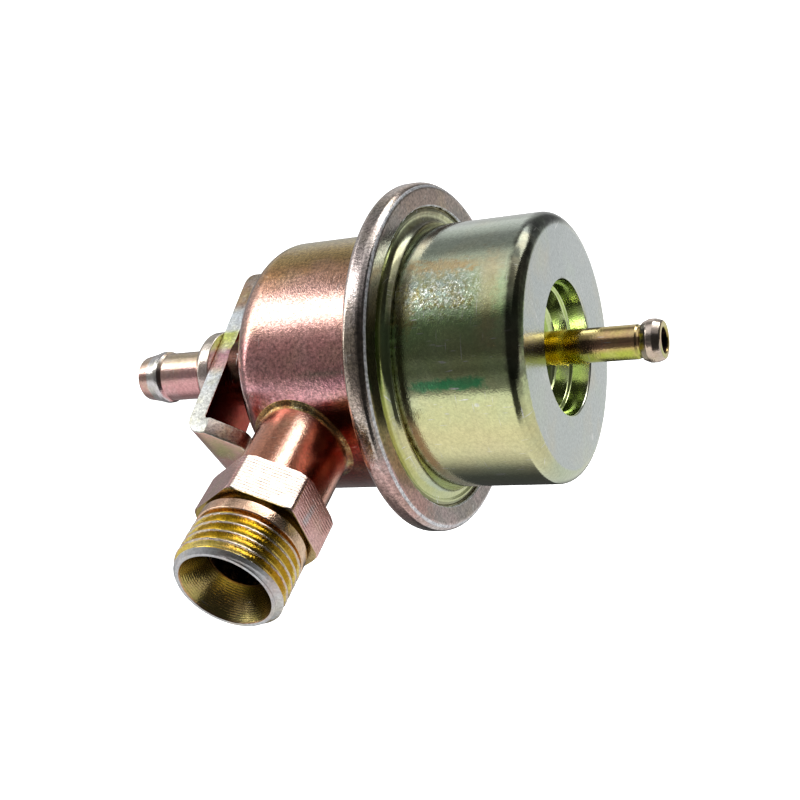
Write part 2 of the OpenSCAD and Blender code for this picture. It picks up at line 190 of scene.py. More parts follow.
class Blank:
    """A bmesh on its way to becoming a finished piece."""

    def __init__(self) -> None:
        """Start with an empty mesh."""
        self.bm = bmesh.new()

    def turn(self, profile: Sequence[Point], axis: TurnAxis, steps: int) -> None:
        """Spin a closed profile into a turned shape.

        Args:
            profile: Radius and station of each point, in millimetres.
            axis: Axis to turn about.
            steps: Number of steps of the full turn.
        """
        verts = [self.bm.verts.new(axis.at(radius, station)) for radius, station in profile]
        edges = [self.bm.edges.new(pair) for pair in zip(verts, verts[1:] + verts[:1])]
        bmesh.ops.spin(self.bm, geom=verts + edges, cent=axis.centre * MM, axis=axis.along, dvec=(0, 0, 0),
                       angle=FULL_TURN, steps=steps, use_merge=True)
        self.settle()

    def settle(self) -> None:
        """Merge doubles and point all faces outwards."""
        bmesh.ops.remove_doubles(self.bm, verts=self.bm.verts, dist=MERGE_WITHIN)
        bmesh.ops.recalc_face_normals(self.bm, faces=self.bm.faces)

    def reshape(self, axis: TurnAxis, rule: Callable[[float, float, float], float]) -> None:
        """Give every vertex a new radius.

        Args:
            axis: Axis that the radius is measured from.
            rule: Gives the new radius for a radius, an angle and a station.
        """
        for vert in self.bm.verts:
            radius, angle, station = axis.read(vert.co)
            vert.co = axis.set(rule(radius, angle, station), angle, station)

    def finish(self, name: str, materials: Sequence[bpy.types.Material], slot: str, sharp: float = 40.0,
               nodes: Sequence[str] = (), body: Body | None = Body.HOUSING) -> bpy.types.Object:
        """Make the object, dress it and tie it to the frame.

        Args:
            name: Name of the piece.
            materials: Materials in slot order.
            slot: Material slot of the record; not used.
            sharp: Angle in degrees above which an edge stays sharp.
            nodes: Nodes that the piece stands for.
            body: Body that the piece rides on, or None to leave it untied.

        Returns:
            The finished object.
        """
        mesh = bpy.data.meshes.new(name)
        self.bm.to_mesh(mesh)
        self.bm.free()
        for material in materials:
            mesh.materials.append(material)
        mesh.shade_smooth()
        mesh.set_sharp_from_angle(angle=math.radians(sharp))
        piece = bpy.data.objects.new(name, mesh)
        bpy.context.scene.collection.objects.link(piece)
        if body:
            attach(piece, body.value)
        if nodes:
            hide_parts(*nodes)
        LOG.info("%s: %d faces", name, len(mesh.polygons))
        return piece


# Shader parts

class Board:
    """A node tree with short ways to add and join nodes."""

    def __init__(self, tree: bpy.types.NodeTree) -> None:
        """Take the tree to work on."""
        self.tree = tree

    def add(self, kind: str, **values: object) -> bpy.types.Node:
        """Add a node.

        Args:
            kind: Node type without its ShaderNode prefix.
            values: Attributes of the node by name.

        Returns:
            The new node.
        """
        made = self.tree.nodes.new(kind if kind.startswith("Node") else "ShaderNode" + kind)
        for key, value in values.items():
            setattr(made, key, value)
        return made

    def join(self, source: object, target: bpy.types.NodeSocket) -> None:
        """Link a socket to an input, or set the input to a plain value.

        Args:
            source: Socket or value.
            target: Input that takes it.
        """
        if isinstance(source, bpy.types.NodeSocket):
            self.tree.links.new(source, target)
        else:
            target.default_value = source

    def math(self, kind: str, first: object, second: object = 0.0, third: object = 0.0,
             clamp: bool = False) -> bpy.types.NodeSocket:
        """Add a Math node.

        Args:
            kind: Operation of the node.
            first, second, third: Its inputs.
            clamp: True if the result is held between 0 and 1.

        Returns:
            The node's result.
        """
        made = self.add("Math", operation=kind, use_clamp=clamp)
        for socket, value in zip(made.inputs, (first, second, third)):
            self.join(value, socket)
        return made.outputs[0]

    def noise(self, vector: object, scale: object, detail: float = 2.0, rough: float = 0.5,
              warp: float = 0.0) -> bpy.types.NodeSocket:
        """Add a Noise Texture.

        Args:
            vector: Place on the surface.
            scale: Size of the noise, larger for finer noise.
            detail: Number of finer layers.
            rough: Weight of the finer layers.
            warp: Distortion of the noise.

        Returns:
            The noise's value.
        """
        made = self.add("TexNoise")
        for key, value in (("Vector", vector), ("Scale", scale), ("Detail", detail), ("Roughness", rough),
                           ("Distortion", warp)):
            self.join(value, made.inputs[key])
        return made.outputs["Fac"]

    def ramp(self, factor: object, stops: Sequence[tuple[float, Colour]],
             mode: str = "LINEAR") -> bpy.types.NodeSocket:
        """Add a Color Ramp.

        Args:
            factor: Value that picks the colour.
            stops: Place and colour of each stop.
            mode: Interpolation between the stops.

        Returns:
            The ramp's colour.
        """
        made = self.add("ValToRGB")
        made.color_ramp.interpolation = mode
        while len(made.color_ramp.elements) < len(stops):
            made.color_ramp.elements.new(1.0)
        for element, (place, colour) in zip(made.color_ramp.elements, stops):
            element.position = place
            element.color = colour
        self.join(factor, made.inputs["Fac"])
        return made.outputs["Color"]

    def window(self, value: object, low: float, high: float, low_out: float = 0.0,
               high_out: float = 1.0) -> bpy.types.NodeSocket:
        """Add a clamped Map Range.

        Args:
            value: Value to map.
            low, high: Range that is read.
            low_out, high_out: Range that it becomes.

        Returns:
            The mapped value.
        """
        made = self.add("MapRange", clamp=True)
        for key, number in (("Value", value), ("From Min", low), ("From Max", high), ("To Min", low_out),
                            ("To Max", high_out)):
            self.join(number, made.inputs[key])
        return made.outputs["Result"]

    def mix(self, factor: object, first: object, second: object) -> bpy.types.NodeSocket:
        """Add a colour Mix node.

        Args:
            factor: Share of the second colour.
            first, second: The colours.

        Returns:
            The mixed colour.
        """
        made = self.add("Mix", data_type="RGBA")
        for key, value in (("Factor", factor), ("A", first), ("B", second)):
            self.join(value, made.inputs[key])
        return made.outputs["Result"]


class Socket(Enum):
    """Kinds of socket on a shader group."""

    VALUE = "NodeSocketFloat"
    VECTOR = "NodeSocketVector"
    COLOUR = "NodeSocketColor"


def new_group(name: str, inputs: dict[str, Socket],
              outputs: dict[str, Socket]) -> tuple[Board, bpy.types.Node, bpy.types.Node]:
    """Start a shader node group with named sockets.

    Args:
        name: Name of the group.
        inputs: Kind of each input, by name.
        outputs: Kind of each output, by name.

    Returns:
        The group's board, its input node and its output node.
    """
    tree = bpy.data.node_groups.new(name, "ShaderNodeTree")
    for direction, sockets in (("INPUT", inputs), ("OUTPUT", outputs)):
        for label, kind in sockets.items():
            tree.interface.new_socket(label, in_out=direction, socket_type=kind.value)
    board = Board(tree)
    return board, board.add("NodeGroupInput"), board.add("NodeGroupOutput")


def around_group(name: str, axis: TurnAxis) -> bpy.types.NodeTree:
    """Build a group that reads turn, radius and station about an axis.

    Args:
        name: Name of the group.
        axis: Axis to measure from.

    Returns:
        The group, with millimetres for radius and station and a turn from 0 to 1.
    """
    outputs = {"Turn": Socket.VALUE, "Radius": Socket.VALUE, "Station": Socket.VALUE}
    board, start, end = new_group(name, {"Vector": Socket.VECTOR}, outputs)
    shift = board.add("VectorMath", operation="MULTIPLY_ADD")
    board.join(start.outputs["Vector"], shift.inputs[0])
    shift.inputs[1].default_value = (1 / MM, 1 / MM, 1 / MM)
    shift.inputs[2].default_value = -axis.centre
    parts = []
    for direction in (axis.out, axis.along.cross(axis.out), axis.along):
        dot = board.add("VectorMath", operation="DOT_PRODUCT")
        board.join(shift.outputs["Vector"], dot.inputs[0])
        dot.inputs[1].default_value = direction
        parts.append(dot.outputs["Value"])
    angle = board.math("ARCTAN2", parts[1], parts[0])
    turn = board.math("FRACT", board.math("MULTIPLY_ADD", angle, 1 / FULL_TURN, 1.0))
    squares = board.math("MULTIPLY_ADD", parts[0], parts[0], board.math("MULTIPLY", parts[1], parts[1]))
    board.join(turn, end.inputs["Turn"])
    board.join(board.math("SQRT", squares), end.inputs["Radius"])
    board.join(parts[2], end.inputs["Station"])
    return board.tree


def area_group() -> bpy.types.NodeTree:
    """Build the group that masks a soft-edged area of two coordinates.

    Returns:
        The group, with four inputs for each coordinate.
    """
    parts = ("Value", "Low", "High", "Soft")
    inputs = {f"{axis} {part}": Socket.VALUE for axis in "UV" for part in parts}
    board, start, end = new_group("soft_area", inputs, {"Mask": Socket.VALUE})
    masks = []
    for axis in "UV":
        value, low, high, soft = (start.outputs[f"{axis} {part}"] for part in parts)
        rise = board.math("DIVIDE", board.math("SUBTRACT", value, low), soft, clamp=True)
        fall = board.math("DIVIDE", board.math("SUBTRACT", high, value), soft, clamp=True)
        masks.append(board.math("MULTIPLY", rise, fall))
    board.join(board.math("MULTIPLY", *masks), end.inputs["Mask"])
    return board.tree


def grain_group() -> bpy.types.NodeTree:
    """Build the group for the fine grain of drawn and plated steel.

    Returns:
        The group, with a height and a speckle from -1 to 1.
    """
    fine_scale = 4600.0
    broad_scale = 520.0
    speckle_scale = 2100.0
    inputs = {"Vector": Socket.VECTOR, "Fine": Socket.VALUE, "Broad": Socket.VALUE}
    board, start, end = new_group("plating_grain", inputs, {"Height": Socket.VALUE, "Speckle": Socket.VALUE})
    place = start.outputs["Vector"]
    fine = board.noise(place, fine_scale, 1.0)
    broad = board.math("MULTIPLY", board.noise(place, broad_scale, 1.0), start.outputs["Broad"])
    speckle = board.noise(place, speckle_scale, 4.0, 0.75)
    board.join(board.math("MULTIPLY_ADD", fine, start.outputs["Fine"], broad), end.inputs["Height"])
    board.join(board.window(speckle, 0.34, 0.66, -1.0, 1.0), end.inputs["Speckle"])
    return board.tree


def scratch_group() -> bpy.types.NodeTree:
    """Build the group for short handling scratches and nicks.

    Returns:
        The group, with a mask of the scratches.
    """
    strokes = ((0.5, (4200.0, 260.0, 260.0)), (-0.9, (300.0, 3800.0, 300.0)), (1.9, (360.0, 360.0, 3600.0)))
    cluster_scale = 170.0
    inputs = {"Vector": Socket.VECTOR, "Amount": Socket.VALUE}
    board, start, end = new_group("handling_scratches", inputs, {"Mask": Socket.VALUE})
    total: object = 0.0
    for turn, stretch in strokes:
        place = board.add("Mapping")
        place.inputs["Rotation"].default_value = (turn, turn * 0.7, turn * 1.3)
        place.inputs["Scale"].default_value = stretch
        board.join(start.outputs["Vector"], place.inputs["Vector"])
        line = board.window(board.noise(place.outputs["Vector"], 1.0, 1.0, 0.4), 0.72, 0.77)
        total = board.math("MAXIMUM", line, total)
    sparse = board.window(board.noise(start.outputs["Vector"], cluster_scale), 0.46, 0.58)
    shown = board.math("MULTIPLY", total, sparse)
    board.join(board.math("MULTIPLY", shown, start.outputs["Amount"]), end.inputs["Mask"])
    return board.tree


def blotch_group() -> bpy.types.NodeTree:
    """Build the group that lays soft passivation blotches of two colours over a colour.

    Returns:
        The group, with the blotched colour.
    """
    shifts = {"First": 0.0, "Second": 7.3}
    inputs = {"Vector": Socket.VECTOR, "Color": Socket.COLOUR, "First": Socket.COLOUR,
              "Second": Socket.COLOUR, "Scale": Socket.VALUE, "Amount": Socket.VALUE}
    board, start, end = new_group("passivation_blotches", inputs, {"Color": Socket.COLOUR})
    colour = start.outputs["Color"]
    for label, shift in shifts.items():
        place = board.add("Mapping")
        place.inputs["Location"].default_value = (shift, shift * 0.6, -shift)
        board.join(start.outputs["Vector"], place.inputs["Vector"])
        field = board.noise(place.outputs["Vector"], start.outputs["Scale"], 4.0, 0.55)
        share = board.math("MULTIPLY", board.window(field, 0.5, 0.68), start.outputs["Amount"])
        colour = board.mix(share, colour, start.outputs[label])
    board.join(colour, end.inputs["Color"])
    return board.tree


def sparkle_group() -> bpy.types.NodeTree:
    """Build the group for a crystalline patch of plating that glitters.

    Returns:
        The group, with masks for light and hue and with a height.
    """
    light_scale = 2400.0
    hue_scale = 900.0
    height_scale = 1600.0
    outputs = {"Light": Socket.VALUE, "Hue": Socket.VALUE, "Height": Socket.VALUE}
    board, start, end = new_group("crystal_sparkle", {"Vector": Socket.VECTOR}, outputs)
    place = start.outputs["Vector"]
    board.join(board.window(board.noise(place, light_scale, 4.0, 0.8, 0.6), 0.52, 0.6), end.inputs["Light"])
    board.join(board.window(board.noise(place, hue_scale, 3.0, 0.7), 0.4, 0.62), end.inputs["Hue"])
    board.join(board.noise(place, height_scale, 3.0, 0.65, 0.8), end.inputs["Height"])
    return board.tree


def marks_group() -> bpy.types.NodeTree:
    """Build the group for the lines that a cutting tool leaves.

    Returns:
        The group, with a height from 0 to 1.
    """
    stray_scale = 260.0
    stray_by = 0.35
    break_scale = 700.0
    inputs = {"Vector": Socket.VECTOR, "Along": Socket.VALUE, "Pitch": Socket.VALUE}
    board, start, end = new_group("tool_marks", inputs, {"Height": Socket.VALUE})
    stray = board.noise(start.outputs["Vector"], stray_scale)
    along = board.math("MULTIPLY_ADD", stray, stray_by, start.outputs["Along"])
    beat = board.math("DIVIDE", along, start.outputs["Pitch"])
    wave = board.math("SINE", board.math("MULTIPLY", beat, FULL_TURN))
    broken = board.window(board.noise(start.outputs["Vector"], break_scale, 3.0), 0.35, 0.65)
    swing = board.math("MULTIPLY", wave, broken)
    board.join(board.math("MULTIPLY_ADD", swing, 0.5, 0.5), end.inputs["Height"])
    return board.tree


class Measure(Enum):
    """Axis that the colours of a finish are measured about."""

    CAN = "can"
    INLET = "inlet"


class Across(Enum):
    """Coordinate that an area is bounded by, besides the station."""

    TURN = "Turn"
    RADIUS = "Radius"


@dataclass(frozen=True)
class Area:
    """A soft-edged area of a finish with its own colour."""

    colour: Shade
    across: Across
    low: float
    high: float
    station_low: float
    station_high: float
    amount: float = 1.0
    soft: float = 0.01
    station_soft: float = 0.6
    roughness: float | None = None
    ragged: float = 2.0


class Effects:
    """Shared shader groups, built once."""

    def __init__(self) -> None:
        """Build every group."""
        self.around = {Measure.CAN: around_group("around_can", CAN),
                       Measure.INLET: around_group("around_inlet", INLET)}
        self.area = area_group()
        self.grain = grain_group()
        self.scratches = scratch_group()
        self.blotches = blotch_group()
        self.sparkle = sparkle_group()
        self.marks = marks_group()

    def place(self, board: Board, group: bpy.types.NodeTree, **values: object) -> bpy.types.Node:
        """Put a group into a material.

        Args:
            board: Board of the material.
            group: Group to place.
            values: Input values or sockets by socket name, with _ for a blank.

        Returns:
            The group node.
        """
        made = board.add("Group")
        made.node_tree = group
        for key, value in values.items():
            board.join(value, made.inputs[key.replace("_", " ")])
        return made


@dataclass(frozen=True)
class PlainFinish:
    """A finish with one colour all over."""

    name: str
    colour: Shade
    roughness: float
    metallic: float = 1.0

    def build(self) -> bpy.types.Material:
        """Build the material.

        Returns:
            The finished material.
        """
        material = bpy.data.materials.new(self.name)
        material.use_nodes = True
        shader = material.node_tree.nodes["Principled BSDF"]
        shader.inputs["Base Color"].default_value = tint(*self.colour)
        shader.inputs["Roughness"].default_value = self.roughness
        shader.inputs["Metallic"].default_value = self.metallic
        return material


# Values that all plated finishes share
WAVER_SCALE = 110.0
PATCH_SCALE = 190.0
RAGGED_SCALE = 900.0
DARK_CRYSTAL = (120, 104, 50)
PALE_CRYSTAL = (150, 166, 160)
CRYSTAL_RELIEF = 0.45
SCRATCH_SHADE = (232, 232, 228)
# Share of a tool mark's colour laid into its grooves, partly the line's own colour and partly painted shade
PAINTED_GROOVE_SHADE = 0.5
RELIEF_DEPTH = 0.0001


@dataclass(frozen=True)
class PlatedFinish:
    """Yellow-passivated zinc on steel, with colours that follow the turn about an axis."""

    name: str
    stops: Stops
    first: Shade
    second: Shade
    blotch_scale: float
    blotch_amount: float
    roughness: tuple[float, float]
    fine: float
    broad: float
    speckle: float = 0.12
    scratch: float = 0.5
    waver: float = 0.03
    measure: Measure = Measure.CAN
    areas: tuple[Area, ...] = ()
    sparkle: Area | None = None
    marks: tuple[tuple[Area, float, float], ...] = ()

    def mask(self, board: Board, effects: Effects, around: bpy.types.Node, area: Area,
             stray: object) -> bpy.types.NodeSocket:
        """Mask an area with a slightly ragged edge.

        Args:
            board: Board of the material.
            effects: Shared shader groups.
            around: Node that reads turn, radius and station.
            area: Area to mask.
            stray: Noise that makes the edge ragged.

        Returns:
            The area's mask.
        """
        across_stray = area.soft * area.ragged
        station_stray = area.station_soft * area.ragged
        across = board.math("MULTIPLY_ADD", stray, across_stray, around.outputs[area.across.value])
        station = board.math("MULTIPLY_ADD", stray, station_stray, around.outputs["Station"])
        made = effects.place(
            board, effects.area, U_Value=across, U_Low=area.low, U_High=area.high, U_Soft=area.soft,
            V_Value=station, V_Low=area.station_low, V_High=area.station_high, V_Soft=area.station_soft)
        return board.math("MULTIPLY", made.outputs["Mask"], area.amount)

    def build(self, effects: Effects) -> bpy.types.Material:
        """Build the material.

        Args:
            effects: Shared shader groups.

        Returns:
            The finished material.
        """
        material = bpy.data.materials.new(self.name)
        material.use_nodes = True
        board = Board(material.node_tree)
        shader = material.node_tree.nodes["Principled BSDF"]
        place = board.add("TexCoord").outputs["Object"]
        around = effects.place(board, effects.around[self.measure], Vector=place)
        slow = board.math("SUBTRACT", board.noise(place, WAVER_SCALE, 3.0), 0.5)
        quick = board.math("SUBTRACT", board.noise(place, RAGGED_SCALE, 5.0, 0.7), 0.5)
        turn = board.math("ADD", around.outputs["Turn"], board.math("MULTIPLY", slow, self.waver))
        colour: object = board.ramp(turn, [(at, tint(*shade)) for at, shade in self.stops], "EASE")
        patches = board.noise(place, PATCH_SCALE, 4.0, 0.6)
        rough: object = board.window(patches, 0.35, 0.65, *self.roughness)
        grain = effects.place(board, effects.grain, Vector=place, Fine=self.fine, Broad=self.broad)
        height: object = grain.outputs["Height"]
        for area in self.areas:
            mask = self.mask(board, effects, around, area, quick)
            colour = board.mix(mask, colour, tint(*area.colour))
            if area.roughness is not None:
                kept = board.math("MULTIPLY", rough, board.math("SUBTRACT", 1.0, mask))
                rough = board.math("ADD", kept, board.math("MULTIPLY", mask, area.roughness))
        colour = effects.place(board, effects.blotches, Vector=place, Color=colour, First=tint(*self.first),
                               Second=tint(*self.second), Scale=self.blotch_scale,
                               Amount=self.blotch_amount).outputs["Color"]
        for area, pitch, depth in self.marks:
            mask = self.mask(board, effects, around, area, quick)
            lines = effects.place(board, effects.marks, Vector=place, Along=around.outputs["Station"],
                                  Pitch=pitch)
            carved = board.math("MULTIPLY", lines.outputs["Height"], mask)
            height = board.math("MULTIPLY_ADD", carved, depth, height)
            # The mark's colour goes into the low parts of each line: partly the line's own colour and partly
            # painted shade in the grooves
            shade = board.math("MULTIPLY", board.math("SUBTRACT", 1.0, lines.outputs["Height"]), mask)
            colour = board.mix(board.math("MULTIPLY", shade, PAINTED_GROOVE_SHADE), colour, tint(*area.colour))
        if self.sparkle:
            mask = self.mask(board, effects, around, self.sparkle, quick)
            glitter = effects.place(board, effects.sparkle, Vector=place)
            shades = board.mix(glitter.outputs["Hue"], tint(*DARK_CRYSTAL), tint(*PALE_CRYSTAL))
            bright = board.mix(glitter.outputs["Light"], shades, tint(*self.sparkle.colour))
            colour = board.mix(mask, colour, bright)
            raised = board.math("MULTIPLY", glitter.outputs["Height"], mask)
            height = board.math("MULTIPLY_ADD", raised, CRYSTAL_RELIEF, height)
        scratches = effects.place(board, effects.scratches, Vector=place, Amount=self.scratch)
        colour = board.mix(scratches.outputs["Mask"], colour, tint(*SCRATCH_SHADE))
        toned = board.add("HueSaturation")
        board.join(colour, toned.inputs["Color"])
        value = board.math("MULTIPLY_ADD", grain.outputs["Speckle"], self.speckle, 1.0)
        board.join(value, toned.inputs["Value"])
        bump = board.add("Bump")
        bump.inputs["Distance"].default_value = RELIEF_DEPTH
        bump.inputs["Strength"].default_value = 1.0
        board.join(height, bump.inputs["Height"])
        shader.inputs["Metallic"].default_value = 1.0
        board.join(toned.outputs["Color"], shader.inputs["Base Color"])
        board.join(rough, shader.inputs["Roughness"])
        board.join(bump.outputs["Normal"], shader.inputs["Normal"])
        return material


# Pieces, with sizes in millimetres

@dataclass
class CrimpedCan:
    """Lower housing with its hem, and the spring cover that it clamps.

    The flange ring's corners give radius, height over the flange and rounding.
    """

    steps: int = 192
    rim_r: float = 26.3
    rim_half: float = 1.9
    rim_edge: float = 1.3
    lip_r: float = 22.6
    lip_drop: float = 0.12
    lip_zone: float = 0.32
    lip_clear: float = 0.05
    lip_beats: float = 36.0
    lip_wave: float = 0.2
    clamp_high: float = 1.0
    clamp_mid: float = 0.0
    clamp_low: float = -0.7
    pocket_r: float = 25.1
    press_gap: float = 0.03
    housing_r: float = 19.5
    wall: float = 1.2
    dome_at: float = 20.0
    dome_len: float = 9.0
    dome_step: float = 0.035
    depth: float = 34.5
    boss_r: float = 5.6
    tube_r: float = 4.03
    flange_ring: tuple[Corner, ...] = (
        (22.45, 0.0, 0.1), (22.38, 0.25, 0.2), (21.75, 0.34, 0.3), (21.5, 0.1, 0.2), (21.4, 0.0, 0.0))
    cover_r: float = 19.7
    cover_h: float = 21.2
    cover_wall: float = 1.0
    recess_r: float = 9.9
    recess_taper: float = 0.4
    recess_floor: float = 15.5
    step_at: float = 18.3
    step_width: float = 0.5
    floor_taper: float = 0.8
    nipple_r: float = 2.53

    def dome(self, radius: float, length: float, end: float) -> list[Point]:
        """Return the dome's points from a closing radius to the straight wall."""
        turns = spread(math.acos(end / radius), 0.0, self.dome_step)
        return [(radius * math.cos(turn), -self.dome_at - length * math.sin(turn)) for turn in turns]

    def ragged(self, radius: float, angle: float, station: float) -> float:
        """Roughen the edge of the folded lip.

        Args:
            radius, angle, station: Place of a point about the can's axis.

        Returns:
            The point's new radius.
        """
        if abs(radius - self.lip_r) > self.lip_zone or station < self.clamp_high + self.lip_clear:
            return radius
        place = Vector((math.cos(angle) * self.lip_beats, math.sin(angle) * self.lip_beats, 0))
        return radius + self.lip_wave * noise.noise(place)

    def build_housing(self, material: bpy.types.Material) -> bpy.types.Object:
        """Build the drawn cup with its rolled hem.

        Args:
            material: Finish of the housing.

        Returns:
            The finished piece.
        """
        half = self.rim_half
        inner_r = self.housing_r - self.wall
        outside = [(self.tube_r, -self.depth), (self.boss_r, -self.depth)]
        outside += self.dome(self.housing_r, self.dome_len, self.boss_r)
        rim = rounded([
            (self.housing_r, -self.dome_at, 0), (self.housing_r, -half, 1.6),
            (self.rim_r, -half, self.rim_edge), (self.rim_r, half, self.rim_edge),
            (self.lip_r, half - self.lip_drop, 0.3), (self.lip_r, self.clamp_high, 0)], degrees=7.0)
        inside = [(self.pocket_r, self.clamp_high), (self.pocket_r, self.clamp_low)]
        inside.append((inner_r, self.clamp_low))
        inside += self.dome(inner_r, self.dome_len - self.wall, self.tube_r)[::-1]
        blank = Blank()
        blank.turn(outside + rim[1:] + inside, CAN, self.steps)
        blank.reshape(CAN, self.ragged)
        return blank.finish("drawn_housing", [material], "plated_housing", nodes=["lower_housing"])

    def build_cover(self, material: bpy.types.Material) -> bpy.types.Object:
        """Build the drawn cover with its stepped recess.

        Args:
            material: Finish of the cover.

        Returns:
            The finished piece.
        """
        high = self.clamp_high
        wall = self.cover_wall
        flange_r = self.pocket_r - self.press_gap
        upper = self.recess_r - self.recess_taper
        lower = upper - self.step_width
        bottom = lower - self.floor_taper
        ring = [(radius, high + rise, fillet) for radius, rise, fillet in self.flange_ring]
        profile = rounded([
            (flange_r, self.clamp_mid, 0), (flange_r, high, 0), *ring, (self.cover_r, high, 1.7),
            (self.cover_r, self.cover_h, 2.2), (self.recess_r, self.cover_h, 0.3),
            (upper, self.step_at, 0.25), (lower, self.step_at, 0.3),
            (bottom, self.recess_floor, 1.2), (self.nipple_r, self.recess_floor, 0.05),
            (self.nipple_r, self.recess_floor - wall, 0), (bottom + wall, self.recess_floor - wall, 1.0),
            (lower + wall, self.step_at - wall, 0.1), (upper + wall, self.step_at - wall, 0.1),
            (self.recess_r + wall, self.cover_h - wall, 0.1), (self.cover_r - wall, self.cover_h - wall, 1.2),
            (self.cover_r - wall, self.clamp_mid, 2.2)], degrees=6.0)
        blank = Blank()
        blank.turn(profile, CAN, self.steps)
        return blank.finish("drawn_cover", [material], "plated_cover", nodes=["spring_cover"])


@dataclass
class HoseTubes:
    """Vacuum nipple and return tube, both beaded for hoses.

    Their corners give radius, station and rounding.
    """

    nipple_steps: int = 96
    nipple: tuple[Corner, ...] = (
        (1.8, 13.6, 0), (3.7, 13.6, 0.1), (3.7, 14.5, 0), (2.5, 14.5, 0), (2.5, 31.5, 0.12),
        (2.35, 31.75, 0.1), (2.35, 32.1, 0.1), (2.7, 32.3, 0.3), (3.1, 33.2, 0.8), (3.1, 34.1, 0.8),
        (2.75, 35.2, 0.4), (1.95, 35.2, 0.12), (1.8, 35.0, 0.1), (1.8, 34.0, 0))
    return_steps: int = 112
    return_tube: tuple[Corner, ...] = (
        (3.0, -53.5, 0), (3.0, -54.1, 0.15), (3.15, -54.3, 0.1), (3.62, -54.3, 0.45), (4.08, -51.8, 1.5),
        (4.42, -50.5, 0.9), (4.36, -49.8, 0.5), (4.0, -49.2, 0.4), (4.0, -40.95, 0.3), (5.6, -40.8, 0.9),
        (6.8, -39.5, 1.2), (6.8, -37.5, 0.15), (4.0, -37.5, 0), (4.0, -8.2, 0.1), (2.6, -6.2, 0.05),
        (1.4, -6.2, 0.05), (1.4, -8.2, 0.1), (3.0, -9.8, 0.2))

    def build_nipple(self, material: bpy.types.Material) -> bpy.types.Object:
        """Build the vacuum nipple.

        Args:
            material: Finish of the nipple.

        Returns:
            The finished piece.
        """
        blank = Blank()
        blank.turn(rounded(self.nipple, degrees=6.0), CAN, self.nipple_steps)
        return blank.finish("beaded_nipple", [material], "plated_nipple", sharp=45.0, nodes=["vacuum_nipple"])

    def build_return(self, material: bpy.types.Material) -> bpy.types.Object:
        """Build the return tube with its collar and its valve seat.

        Args:
            material: Finish of the tube.

        Returns:
            The finished piece.
        """
        blank = Blank()
        blank.turn(rounded(self.return_tube, degrees=6.0), CAN, self.return_steps)
        return blank.finish("beaded_return", [material], "plated_return", sharp=45.0, nodes=["return_tube"])


